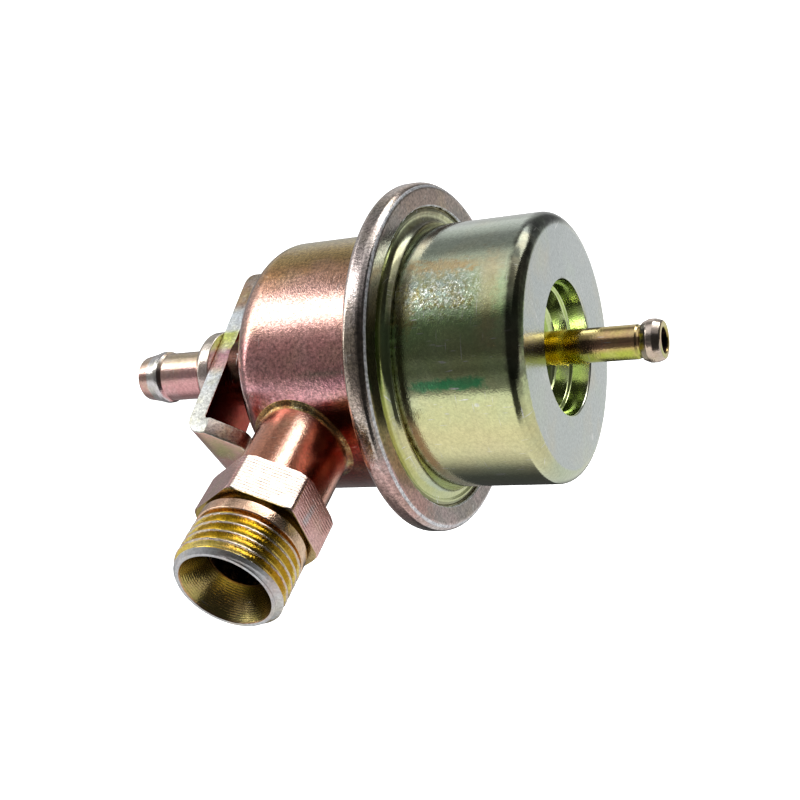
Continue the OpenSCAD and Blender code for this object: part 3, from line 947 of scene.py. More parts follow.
@dataclass
class InletFitting:
    """Turned fitting with thread, hexagon and neck, and the braze round its foot."""

    steps: int = 240
    thread_r: float = 8.0
    thread_depth: float = 0.92
    thread_step: float = 0.04
    pitch: float = 1.5
    phase: float = 0.35
    crest: float = 0.13
    flank: float = 0.6
    flank_power: float = 1.2
    thread_end: float = 6.3
    runout: float = 0.6
    runout_past: float = 0.15
    chamfer: float = 0.6
    lead: float = 0.3
    relief_r: float = 7.0
    relief_end: float = 6.85
    collar_r: float = 7.97
    collar_low: float = 6.95
    collar_high: float = 8.8
    collar_back: float = 8.9
    neck_r: float = 7.05
    neck_end: float = 28.4
    hex_af: float = 16.0
    hex_low: float = 9.5
    hex_high: float = 16.1
    hex_soft: float = 0.12
    hex_chamfer: float = 0.4
    hex_slope: float = 1.4
    hex_foot_r: float = 7.9
    hex_blank_r: float = 9.7
    hex_slack: float = 0.05
    thread_slack: float = 0.02
    end_slack: float = 0.01
    bore_r: float = 4.3
    mouth_r: float = 6.65
    end_r: float = 7.1
    mouth_depth: float = 4.2
    spigot_r: float = 5.8
    spigot_from: float = 28.6
    foot: float = 29.8
    braze_steps: int = 160
    braze_rings: int = 10
    braze_width: float = 0.85
    braze_rise: float = 0.7
    braze_inset: float = 0.05
    braze_sunk: float = 0.25
    braze_wave: float = 0.3
    braze_beats: float = 4.0
    braze_hollow: float = 0.85
    braze_power: float = 0.25

    def thread(self, radius: float, angle: float, station: float) -> float:
        """Cut the thread.

        Args:
            radius, angle, station: Place of a point about the inlet's axis.

        Returns:
            The point's new radius.
        """
        turn = (station / self.pitch - angle / FULL_TURN + self.phase) % 1.0
        away = abs(2 * turn - 1)
        cut = math.sin(unit((away - self.crest) / self.flank) * math.pi / 2) ** self.flank_power
        fade = unit((self.thread_end + self.runout_past - station) / self.runout)
        cone = self.end_r + (station + self.chamfer)
        return min(radius - self.thread_depth * cut * fade, cone)

    def hexagon(self, angle: float, station: float) -> float:
        """Cut the chamfered hexagon.

        Args:
            angle, station: Place of a point about the inlet's axis.

        Returns:
            The point's new radius.
        """
        half_side = 30
        flat = self.hex_af / 2
        sector = (math.degrees(angle) + half_side) % (2 * half_side) - half_side
        side = flat / math.cos(math.radians(sector))
        corner = flat / math.cos(math.radians(half_side)) - self.hex_soft
        inward = min(station - self.hex_low, self.hex_high - station)
        return min(side, corner, corner - self.hex_chamfer + self.hex_slope * inward)

    def cut(self, radius: float, angle: float, station: float) -> float:
        """Cut the thread and the hexagon into the turned blank.

        Args:
            radius, angle, station: Place of a point about the inlet's axis.

        Returns:
            The point's new radius.
        """
        if radius > self.hex_blank_r - self.hex_slack:
            return self.hexagon(angle, station)
        if radius > self.thread_r - self.thread_slack and station < self.thread_end + self.end_slack:
            return self.thread(radius, angle, station)
        return radius

    def build_fitting(self, material: bpy.types.Material) -> bpy.types.Object:
        """Build the turned fitting.

        Args:
            material: Finish of the fitting.

        Returns:
            The finished piece.
        """
        start = -self.chamfer
        low = self.hex_low
        high = self.hex_high
        profile = [(self.bore_r, self.foot)]
        profile += rounded([
            (self.bore_r, self.foot, 0), (self.bore_r, self.mouth_depth, 0.3), (self.mouth_r, start, 0.1),
            (self.end_r, start, 0.1), (self.end_r + self.lead, start + self.lead, 0)])[1:-1]
        profile += [(self.thread_r, at) for at in spread(start + 0.1, self.thread_end, self.thread_step)]
        profile += rounded([
            (self.thread_r, self.thread_end, 0), (self.relief_r, self.thread_end + 0.2, 0.1),
            (self.relief_r, self.relief_end, 0.1), (self.collar_r, self.collar_low, 0.2),
            (self.collar_r, self.collar_high, 0.2), (self.neck_r, self.collar_back, 0.1),
            (self.neck_r, low, 0.1), (self.hex_foot_r, low, 0)])[1:-1]
        stations = spread(low, low + 1.2, 0.05) + spread(low + 1.4, high - 1.4, 0.6)
        stations += spread(high - 1.2, high, 0.05)
        profile += [(self.hex_blank_r, at) for at in stations]
        profile += rounded([
            (self.hex_foot_r, high, 0), (self.neck_r, high, 0.25), (self.neck_r, self.neck_end, 0),
            (self.spigot_r, self.spigot_from, 0), (self.spigot_r, self.foot, 0)])[1:]
        blank = Blank()
        blank.turn(profile, INLET, self.steps)
        blank.reshape(INLET, self.cut)
        return blank.finish("threaded_fitting", [material], "plated_fitting", sharp=32.0,
                            nodes=["inlet_fitting"])

    def saddle(self, can: CrimpedCan, radius: float, angle: float) -> float:
        """Return the station where a line along the inlet meets the housing.

        Args:
            can: The can that carries the fitting.
            radius: Distance of the line from the inlet's axis.
            angle: Angle of the line about the inlet's axis.

        Returns:
            The station on the inlet's axis, in millimetres.
        """
        spot = INLET.set(radius, angle, 0) / MM
        along = -(spot.x - CAN.centre.x) - can.dome_at
        reach = can.housing_r
        if along > 0:
            reach *= math.sqrt(1 - (along / can.dome_len) ** 2)
        return CAN.centre.y - math.sqrt(reach ** 2 - spot.z ** 2)

    def build_braze(self, can: CrimpedCan, material: bpy.types.Material) -> bpy.types.Object:
        """Build the ring of braze metal that follows the saddle.

        Args:
            can: The can that carries the fitting.
            material: Finish of the braze.

        Returns:
            The finished piece.
        """
        top = 26.0
        under = 27.0
        width = self.braze_width + self.braze_inset
        start = self.neck_r - self.braze_inset
        profile = [(start + width * ring / self.braze_rings, top) for ring in range(self.braze_rings + 1)]
        profile += [(profile[-1][0], under), (profile[0][0], under)]
        blank = Blank()
        blank.turn(profile, INLET, self.braze_steps)
        for vert in blank.bm.verts:
            radius, angle, station = INLET.read(vert.co)
            left = 1 - unit((radius - self.neck_r) / self.braze_width)
            beats = self.braze_beats
            wobble = noise.noise(Vector((math.cos(angle) * beats, math.sin(angle) * beats, radius * 0.3)))
            hollow = 1 - math.sqrt(max(0.0, 1 - left ** 2)) * self.braze_hollow
            lift = self.braze_rise * hollow * left ** self.braze_power + self.braze_wave * wobble * left
            ground = self.saddle(can, radius, angle)
            at = ground + self.braze_sunk if station > (top + under) / 2 else ground - lift
            vert.co = INLET.set(radius, angle, at)
        blank.settle()
        return blank.finish("braze_fillet", [material], "braze", sharp=50.0, nodes=["inlet_braze_ring"])


class StripFace(IntEnum):
    """Material slots of the bracket's strip."""

    INNER = 0
    OUTER = 1
    EDGE = 2


@dataclass
class LocatingBracket:
    """Sheared and bent strip between the housing and the return tube's collar."""

    half: float = 5.4
    thick: float = 3.0
    plate_mid: float = -36.0
    tail: float = 20.0
    tail_step: float = 0.13
    bend_from: float = 12.8
    bend_mid_r: float = 1.9
    bend_steps: int = 12
    lug: float = 5.2
    taper: float = 4.6
    tip_r: float = 2.2
    tip_step: float = 0.2
    turn: float = math.radians(12.5)
    round_edge: float = 0.3
    edge_turn: float = 0.5
    flat_facing: float = 0.9
    cross_cuts: Corner = (-18.0, 12.0, 3.0)

    def outline(self) -> list[Point]:
        """Draw the flat outline of the strip.

        Returns:
            Place along and across of each point.
        """
        tip = self.bend_from + self.bend_mid_r * math.pi / 2 + self.lug
        tail_mid = self.half - self.tail
        points = [(tail_mid - self.half * math.sin(at), self.half * math.cos(at))
                  for at in spread(0.0, math.pi, self.tail_step)]
        side = Vector((self.taper - self.tip_r, self.half))
        lean = math.atan2(side.y, side.x) + math.acos(self.tip_r / side.length)
        points.append((tip - self.taper, -self.half))
        points += [(tip - self.tip_r - self.tip_r * math.cos(at), self.tip_r * math.sin(at))
                   for at in spread(FULL_TURN - lean, lean, self.tip_step)]
        points.append((tip - self.taper, self.half))
        return points

    def bend(self, along: float, across: float, height: float) -> Vector:
        """Carry a point of the flat strip to its place on the bent bracket.

        Args:
            along: Place along the strip.
            across: Place across the strip.
            height: Height above the strip's middle, positive towards the housing.

        Returns:
            The point in metres.
        """
        bend_len = self.bend_mid_r * math.pi / 2
        centre = self.plate_mid + self.bend_mid_r
        turned = min(max(0.0, (along - self.bend_from) / self.bend_mid_r), math.pi / 2)
        reach = self.bend_mid_r - height
        down = min(along, self.bend_from) + reach * math.sin(turned)
        station = centre - reach * math.cos(turned) + max(0.0, along - self.bend_from - bend_len)
        out = Vector((0, -math.cos(self.turn), -math.sin(self.turn)))
        side = Vector((1, 0, 0)).cross(out)
        return (CAN.centre + out * down + side * across + Vector((station, 0, 0))) * MM

    def build(self, inner: bpy.types.Material, outer: bpy.types.Material,
              edge: bpy.types.Material) -> bpy.types.Object:
        """Build the bent strip.

        Args:
            inner: Finish of the face towards the housing, a darker copy of the plating as painted shade.
            outer: Finish of the face away from the housing.
            edge: Finish of the sheared edges.

        Returns:
            The finished piece.
        """
        blank = Blank()
        bm = blank.bm
        verts = [bm.verts.new((along, across, -self.thick / 2)) for along, across in self.outline()]
        sheet = bm.faces.new(verts)
        made = bmesh.ops.extrude_face_region(bm, geom=[sheet])
        lifted = [item for item in made["geom"] if isinstance(item, bmesh.types.BMVert)]
        bmesh.ops.translate(bm, verts=lifted, vec=(0, 0, self.thick))
        blank.settle()
        rims = [item for item in bm.edges if len(item.link_faces) == 2
                and abs(item.link_faces[0].normal.z - item.link_faces[1].normal.z) > self.edge_turn]
        bmesh.ops.bevel(bm, geom=rims, offset=self.round_edge, offset_type="OFFSET", segments=3, profile=0.5,
                        affect="EDGES", material=-1)
        bend_len = self.bend_mid_r * math.pi / 2
        cuts = spread(self.bend_from, self.bend_from + bend_len, bend_len / self.bend_steps)
        for at in cuts + spread(*self.cross_cuts):
            bmesh.ops.bisect_plane(bm, geom=bm.verts[:] + bm.edges[:] + bm.faces[:], dist=1e-6,
                                   plane_co=(at, 0, 0), plane_no=(1, 0, 0))
        for item in bm.faces:
            flat = StripFace.OUTER if item.normal.z < 0 else StripFace.INNER
            item.material_index = StripFace.EDGE if abs(item.normal.z) < self.flat_facing else flat
        for vert in bm.verts:
            vert.co = self.bend(*vert.co)
        blank.settle()
        return blank.finish("sheared_bracket", [inner, outer, edge], "plated_bracket",
                            nodes=["locating_bracket"])


@dataclass
class FlexParts:
    """Diaphragm and main spring, which give way when the valve lifts."""

    disc_steps: int = 128
    hole_r: float = 2.93
    outer_r: float = 25.07
    low: float = -0.7
    thick: float = 0.7
    fold_mid: float = 17.15
    fold_r: float = 0.604
    spring_r: float = 14.8
    wire_r: float = 1.1
    wire_sides: int = 12
    turns: int = 5
    turn_steps: int = 48
    spring_from: float = 1.0
    spring_to: float = 20.2
    closed_rise: float = 2.31

    def fold(self, side: int) -> list[Point]:
        """Return half of the fold, from its foot to the crown and back over it.

        Args:
            side: -1 for the half towards the axis, 1 for the half towards the rim.

        Returns:
            Radius and station of each point.
        """
        over = self.fold_r + self.thick
        foot = math.asin(self.thick / over)
        under_arc = (self.fold_r, spread(0.0, math.pi / 2, 0.2))
        over_arc = (over, spread(math.pi / 2, foot, 0.15))
        points = []
        for reach, turns in (under_arc, over_arc):
            points += [(self.fold_mid + side * reach * math.cos(at), self.low + reach * math.sin(at))
                       for at in turns]
        return points

    def build_diaphragm(self, material: bpy.types.Material) -> None:
        """Build the diaphragm, split at the crown of its fold.

        Args:
            material: Finish of the coated fabric.
        """
        halves = (("diaphragm_disc", -1, self.hole_r, (), Body.VALVE),
                  ("diaphragm_edge", 1, self.outer_r, ("diaphragm",), Body.HOUSING))
        for name, side, end_r, nodes, body in halves:
            blank = Blank()
            profile = [(end_r, self.low)] + self.fold(side) + [(end_r, self.low + self.thick)]
            blank.turn(profile, CAN, self.disc_steps)
            blank.finish(name, [material], "diaphragm_rubber", nodes=nodes, body=body)

    def build_spring(self, material: bpy.types.Material) -> None:
        """Build the coil spring with a closed turn at each end.

        Args:
            material: Finish of the wire.
        """
        open_turns = self.turns - 2
        open_rise = self.spring_to - self.spring_from - 2 * self.wire_r - 2 * self.closed_rise
        blank = Blank()
        bm = blank.bm
        start = CAN.at(self.spring_r, self.spring_from + self.wire_r)
        place = Matrix((CAN.out, CAN.along, CAN.out.cross(CAN.along))).transposed().to_4x4()
        bmesh.ops.create_circle(bm, segments=self.wire_sides, radius=self.wire_r * MM,
                                matrix=Matrix.Translation(start) @ place)
        ring = bm.verts[:] + bm.edges[:]
        for turns, rise in ((1, self.closed_rise), (open_turns, open_rise), (1, self.closed_rise)):
            steps = self.turn_steps * turns
            made = bmesh.ops.spin(bm, geom=ring, cent=CAN.centre * MM, axis=CAN.along,
                                  angle=FULL_TURN * turns, dvec=CAN.along * (rise / steps * MM), steps=steps)
            ring = made["geom_last"]
        bmesh.ops.holes_fill(bm, edges=[edge for edge in bm.edges if edge.is_boundary], sides=self.wire_sides)
        blank.settle()
        piece = blank.finish("coil_spring", [material], "spring_steel", sharp=50.0, nodes=["main_spring"],
                             body=None)
        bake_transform(piece)


# Finishes

class InnerPart(Enum):
    """Sealed inner pieces, which keep their own solids."""

    PLATE = "spring_plate"
    HOLDER = "valve_holder"
    BALL = "valve_ball"
    RETAINER = "ball_retainer"


FABRIC_FINISH = PlainFinish("coated_fabric", (34, 34, 36), 0.75, 0.0)
WIRE_FINISH = PlainFinish("spring_wire", (104, 106, 110), 0.36)
INNER_FINISHES = {
    InnerPart.PLATE: PlainFinish("pressed_steel", (176, 176, 172), 0.34),
    InnerPart.HOLDER: PlainFinish("turned_steel", (168, 168, 166), 0.28),
    InnerPart.BALL: PlainFinish("polished_ball", (205, 206, 210), 0.08),
    InnerPart.RETAINER: PlainFinish("stamped_ring", (160, 160, 158), 0.32),
}

# An area gives its colour, its coordinate with low and high, and its low and high station; then its amount,
# the softness of both, its roughness and how ragged its edge is
HOUSING_FINISH = PlatedFinish(
    "housing_plating",
    # The dark red-brown stops from 0.445 to 0.56, on the lower side towards the inlet, are painted shade and
    # a painted reflection of the neck and hexagon
    ((0.0, (206, 160, 150)), (0.14, (190, 186, 150)), (0.2, (206, 188, 132)), (0.235, (210, 178, 112)),
     (0.27, (200, 152, 106)), (0.288, (208, 160, 134)), (0.308, (226, 180, 168)), (0.34, (226, 176, 164)),
     (0.375, (214, 152, 148)), (0.405, (208, 148, 146)), (0.418, (212, 154, 160)), (0.433, (208, 150, 154)),
     (0.445, (120, 44, 30)), (0.56, (134, 52, 40)), (0.62, (180, 120, 112)), (0.8, (206, 150, 140))),
    first=(190, 170, 130), second=(214, 178, 178), blotch_scale=150.0, blotch_amount=0.25,
    roughness=(0.1, 0.16), fine=0.2, broad=0.1, speckle=0.5, scratch=0.4,
    areas=(
        Area((120, 122, 104), Across.TURN, 0.399, 0.413, -15.0, -2.0, 0.6, 0.007, 5.0),
        # Dark red-brown lower side round the neck: painted shade and a painted reflection of the fitting
        Area((112, 38, 27), Across.TURN, 0.419, 0.56, -40.0, -14.0, 0.9, 0.007, 6.0),
        Area((186, 190, 194), Across.TURN, 0.17, 0.32, -25.5, -22.4, 0.7, 0.04, 1.0, 0.2),
        # Dark brown round the boss: painted shade between the dome and the bracket
        Area((62, 36, 27), Across.RADIUS, 0.0, 9.0, -36.0, -27.0, 0.95, 1.0, 0.5, 0.3),
        Area((190, 184, 180), Across.RADIUS, 20.4, 40.0, -2.4, 4.0, 0.9, 0.5, 0.4, 0.13),
        Area((128, 121, 114), Across.RADIUS, 22.2, 25.3, 1.5, 4.0, 0.85, 0.3, 0.2, 0.26),
        Area((186, 134, 122), Across.TURN, 0.46, 0.6, -2.2, 4.0, 0.6, 0.04, 0.4),
        Area((158, 128, 112), Across.TURN, 0.10, 0.25, -2.2, 4.0, 0.45, 0.04, 0.4),
        Area((160, 142, 112), Across.TURN, 0.345, 0.46, -2.2, 4.0, 0.5, 0.03, 0.4),
        Area((230, 232, 236), Across.RADIUS, 25.35, 25.85, 0.9, 4.0, 0.9, 0.1, 0.2, 0.5, 1.5),
        Area((222, 226, 230), Across.RADIUS, 22.3, 22.85, 1.3, 4.0, 0.8, 0.1, 0.2, 0.45, 1.5)))
COVER_FINISH = PlatedFinish(
    "cover_plating",
    ((0.0, (214, 216, 204)), (0.16, (206, 212, 206)), (0.24, (194, 204, 190)), (0.29, (190, 200, 172)),
     (0.33, (180, 204, 158)), (0.36, (173, 203, 142)), (0.41, (178, 196, 136)), (0.4365, (206, 216, 164)),
     (0.46, (212, 214, 160)), (0.49, (216, 210, 158)), (0.53, (208, 206, 158)), (0.58, (190, 200, 170)),
     (0.8, (206, 210, 190))),
    first=(216, 200, 160), second=(196, 214, 184), blotch_scale=120.0, blotch_amount=0.25,
    roughness=(0.08, 0.15), fine=0.1, broad=0.08, speckle=0.14, scratch=0.8,
    areas=(
        Area((210, 156, 76), Across.TURN, 0.276, 0.304, 3.0, 15.5, 0.55, 0.012, 3.0, None, 4.0),
        Area((208, 176, 132), Across.TURN, 0.26, 0.40, 14.5, 18.8, 0.45, 0.03, 1.6, None, 3.0),
        Area((190, 146, 66), Across.TURN, 0.3, 0.37, 1.6, 6.5, 0.45, 0.012, 1.2, None, 5.0),
        Area((36, 186, 120), Across.TURN, 0.419, 0.4365, 4.6, 16.5, 0.95, 0.005, 1.5, None, 3.0),
        Area((206, 206, 116), Across.RADIUS, 20.2, 40.0, 0.0, 4.0, 0.5, 0.3, 0.4),
        # Darker brown band on the upper side where the wall meets the flange: painted shade and dark
        # reflection
        Area((100, 90, 58), Across.TURN, 0.1, 0.37, 0.8, 3.0, 0.75, 0.04, 0.5),
        # Dark olive ring beside the lip: painted dark reflection
        Area((84, 84, 50), Across.RADIUS, 21.85, 22.7, 0.5, 1.7, 0.7, 0.15, 0.2),
        # Dark band along the cover's rounding: partly a dark stain and partly a painted dark reflection
        Area((54, 55, 52), Across.TURN, 0.12, 0.447, 18.8, 21.6, 0.85, 0.025, 0.8),
        Area((188, 195, 194), Across.RADIUS, 9.9, 17.9, 20.6, 30.0, 0.9, 0.3, 0.2, 0.2),
        Area((214, 230, 160), Across.RADIUS, 0.0, 9.9, 10.0, 21.0, 0.9, 0.2, 0.2, 0.09)),
    sparkle=Area((248, 250, 246), Across.TURN, 0.286, 0.364, 1.5, 17.5, 0.85, 0.03, 5.0, None, 1.5))
NIPPLE_FINISH = PlatedFinish(
    "nipple_plating",
    ((0.0, (196, 190, 110)), (0.3, (206, 184, 120)), (0.4, (206, 160, 120)), (0.5, (180, 188, 82)),
     (0.8, (190, 170, 96))),
    first=(206, 160, 140), second=(206, 200, 140), blotch_scale=240.0, blotch_amount=0.4,
    roughness=(0.08, 0.14), fine=0.14, broad=0.08, speckle=0.14,
    areas=(
        Area((214, 200, 194), Across.RADIUS, 2.55, 5.0, 32.2, 40.0, 0.85, 0.1, 0.3),
        # Saturated yellow on the nipple inside the recess: painted reflection of the recess walls
        Area((224, 190, 30), Across.RADIUS, 0.0, 5.0, 14.0, 22.0, 0.75, 0.2, 1.2),
        # Near-black bore: painted shade inside the bore
        Area((30, 26, 22), Across.RADIUS, 0.0, 1.84, 10.0, 40.0, 1.0, 0.03, 0.2, 0.6)))
RETURN_FINISH = PlatedFinish(
    "return_plating",
    ((0.0, (206, 170, 150)), (0.25, (206, 184, 160)), (0.4, (214, 164, 162)), (0.5, (212, 158, 158)),
     (0.8, (196, 150, 140))),
    first=(190, 184, 140), second=(214, 200, 200), blotch_scale=170.0, blotch_amount=0.35,
    roughness=(0.12, 0.2), fine=0.18, broad=0.08, speckle=0.14,
    areas=(
        Area((210, 213, 216), Across.RADIUS, 0.0, 6.0, -52.4, -49.4, 0.85, 0.15, 0.5),
        Area((200, 196, 188), Across.RADIUS, 5.6, 9.0, -44.0, -36.0, 0.7, 0.5, 0.5),
        # Near-black bore: painted shade inside the bore
        Area((30, 26, 22), Across.RADIUS, 0.0, 3.04, -55.0, -5.0, 1.0, 0.03, 0.2, 0.6)))
FITTING_FINISH = PlatedFinish(
    "fitting_plating",
    ((0.0, (214, 150, 120)), (0.12, (224, 180, 150)), (0.3, (214, 170, 120)), (0.5, (206, 160, 120)),
     (0.8, (190, 120, 90))),
    first=(206, 140, 110), second=(226, 208, 170), blotch_scale=190.0, blotch_amount=0.3,
    roughness=(0.12, 0.18), fine=0.24, broad=0.08, speckle=0.2, measure=Measure.INLET,
    areas=(
        Area((212, 190, 92), Across.RADIUS, 6.8, 7.9, -0.2, 6.7, 0.95, 0.12, 0.15, 0.1),
        Area((206, 206, 196), Across.RADIUS, 7.82, 8.4, 0.0, 6.5, 0.75, 0.08, 0.2, 0.24, 9.0),
        Area((214, 217, 220), Across.RADIUS, 6.6, 8.1, -1.0, 0.36, 0.95, 0.08, 0.15, 0.42),
        Area((212, 196, 116), Across.RADIUS, 4.3, 6.62, -1.0, 4.2, 0.95, 0.15, 0.3, 0.17),
        # Near-black bore: painted shade inside the bore
        Area((14, 12, 10), Across.RADIUS, 0.0, 4.4, 3.9, 40.0, 1.0, 0.1, 0.4, 0.7),
        Area((226, 192, 164), Across.RADIUS, 7.0, 8.4, 6.7, 9.3, 0.9, 0.1, 0.15),
        # Darker olive band over the collar and the hexagon's end face: painted shade in the step between them
        Area((150, 136, 70), Across.RADIUS, 6.8, 12.0, 8.7, 9.75, 0.85, 0.1, 0.1, 0.25),
        Area((240, 196, 192), Across.RADIUS, 7.2, 12.0, 9.6, 16.2, 0.95, 0.1, 0.1, 0.24),
        # Pale upper flat of the hexagon: painted highlight
        Area((246, 240, 224), Across.TURN, 0.752, 0.915, 9.6, 16.2, 0.9, 0.004, 0.1),
        Area((206, 210, 214), Across.TURN, 0.965, 0.995, 9.9, 14.4, 0.8, 0.012, 1.2, None, 3.0),
        Area((214, 148, 122), Across.RADIUS, 6.5, 7.2, 16.2, 30.0, 0.9, 0.05, 0.4),
        # Paler band along the neck where the highlight lies: painted highlight
        Area((230, 190, 170), Across.TURN, 0.79, 0.868, 16.2, 28.5, 0.85, 0.03, 0.6)),
    marks=(
        (Area((158, 124, 116), Across.RADIUS, 7.9, 12.0, 9.7, 16.0, 1.0, 0.1, 0.1), 0.52, 0.3),
        (Area((100, 90, 46), Across.RADIUS, 4.3, 6.6, -1.0, 4.2, 1.0, 0.1, 0.2), 0.3, 0.12)))
BRAZE_FINISH = PlatedFinish(
    "braze_plating", ((0.0, (126, 84, 52)), (0.4, (156, 122, 76)), (0.6, (116, 62, 42))),
    first=(110, 46, 34), second=(196, 180, 130), blotch_scale=380.0, blotch_amount=0.6,
    roughness=(0.16, 0.26), fine=0.7, broad=0.8, speckle=0.35)
# The face towards the housing: a darker, redder copy of the strip's plating, as painted shade
INNER_FACE_PAINTED_SHADE_FINISH = PlatedFinish(
    "bracket_inner_plating_painted_shade", ((0.0, (160, 70, 50)), (0.4, (146, 48, 36)), (0.6, (150, 56, 42))),
    first=(110, 26, 22), second=(170, 100, 74), blotch_scale=180.0, blotch_amount=0.4,
    roughness=(0.12, 0.2), fine=0.25, broad=0.15, speckle=0.2)
OUTER_FACE_FINISH = PlatedFinish(
    "bracket_outer_plating", ((0.0, (214, 166, 160)), (0.4, (222, 172, 166)), (0.6, (222, 176, 168))),
    first=(150, 194, 84), second=(206, 156, 152), blotch_scale=110.0, blotch_amount=0.5,
    roughness=(0.2, 0.28), fine=0.2, broad=0.15, speckle=0.06)
EDGE_FINISH = PlatedFinish(
    "sheared_edge_plating",
    ((0.0, (180, 140, 110)), (0.1, (150, 120, 98)), (0.13, (196, 202, 206)), (0.17, (200, 204, 206)),
     (0.19, (192, 198, 112)), (0.25, (206, 206, 132)), (0.285, (180, 132, 144)), (0.36, (196, 160, 158)),
     (0.4, (192, 196, 200)), (0.48, (212, 212, 204)), (0.6, (226, 222, 180))),
    first=(206, 200, 150), second=(232, 234, 232), blotch_scale=330.0, blotch_amount=0.35,
    roughness=(0.3, 0.44), fine=0.7, broad=0.6, speckle=0.4, waver=0.05)


# Studio

class Side(Enum):
    """Parts of the light dome, from the return tube's end to the cover's end."""

    BACK = "back"
    LEFT = "left"
    MIDDLE = "middle"
    EDGE = "edge"
    RIGHT = "right"
    END = "end"


# Softbox levels by the turn about the can's axis
DOME_ROWS: dict[Side, tuple[Point, ...]] = {
    Side.BACK: (
        (0.0, 0.55), (0.12, 0.5), (0.14, 1.2), (0.19, 1.5), (0.21, 3.2), (0.28, 3.2), (0.295, 0.4),
        (0.36, 0.25), (0.42, 0.3), (0.45, 0.95), (0.6, 0.9), (0.7, 0.3), (0.9, 0.3)),
    Side.LEFT: (
        (0.0, 0.6), (0.03, 0.45), (0.06, 0.32), (0.09, 0.24), (0.115, 0.36), (0.14, 0.42), (0.165, 0.28),
        (0.2, 0.3), (0.224, 1.0), (0.232, 4.4), (0.266, 4.4), (0.279, 1.6), (0.295, 0.9), (0.31, 0.58),
        (0.333, 0.34), (0.365, 0.26), (0.385, 0.19), (0.428, 0.18), (0.452, 0.28), (0.464, 1.15), (0.6, 0.95),
        (0.68, 0.2), (0.85, 0.15), (0.95, 0.5)),
    Side.MIDDLE: (
        (0.0, 0.82), (0.027, 0.75), (0.057, 0.55), (0.078, 0.28), (0.115, 0.27), (0.13, 0.17), (0.155, 0.14),
        (0.166, 0.34), (0.19, 0.34), (0.22, 0.25), (0.25, 0.45), (0.29, 0.3), (0.312, 0.07), (0.395, 0.07),
        (0.413, 0.15), (0.43, 0.09), (0.455, 0.18), (0.48, 0.22), (0.49, 0.94), (0.645, 0.94), (0.675, 0.6),
        (0.71, 0.18), (0.75, 0.07), (0.86, 0.05), (0.95, 0.6)),
    Side.EDGE: (
        (0.0, 0.82), (0.027, 0.75), (0.057, 0.55), (0.078, 0.28), (0.115, 0.27), (0.13, 0.3), (0.145, 0.6),
        (0.19, 0.95), (0.24, 0.9), (0.27, 0.75), (0.29, 0.45), (0.312, 0.1), (0.395, 0.07), (0.413, 0.15),
        (0.43, 0.09), (0.455, 0.18), (0.48, 0.22), (0.49, 0.94), (0.72, 0.94), (0.78, 0.8), (0.82, 0.4),
        (0.86, 0.2), (0.95, 0.6)),
    Side.RIGHT: (
        (0.0, 0.2), (0.045, 0.2), (0.068, 0.8), (0.08, 4.5), (0.137, 4.5), (0.143, 1.7), (0.155, 1.5),
        (0.185, 1.4), (0.2, 0.5), (0.27, 0.25), (0.31, 0.03), (0.455, 0.03), (0.54, 0.06), (0.57, 0.8),
        (0.62, 0.85), (0.72, 0.85), (0.8, 0.8), (0.87, 0.82), (0.925, 0.8), (0.955, 0.22)),
    Side.END: (
        (0.0, 0.08), (0.05, 0.08), (0.1, 0.12), (0.14, 0.06), (0.2, 0.05), (0.47, 0.03), (0.52, 0.5),
        (0.6, 0.65), (0.7, 0.78), (0.87, 0.7), (0.93, 0.1)),
}


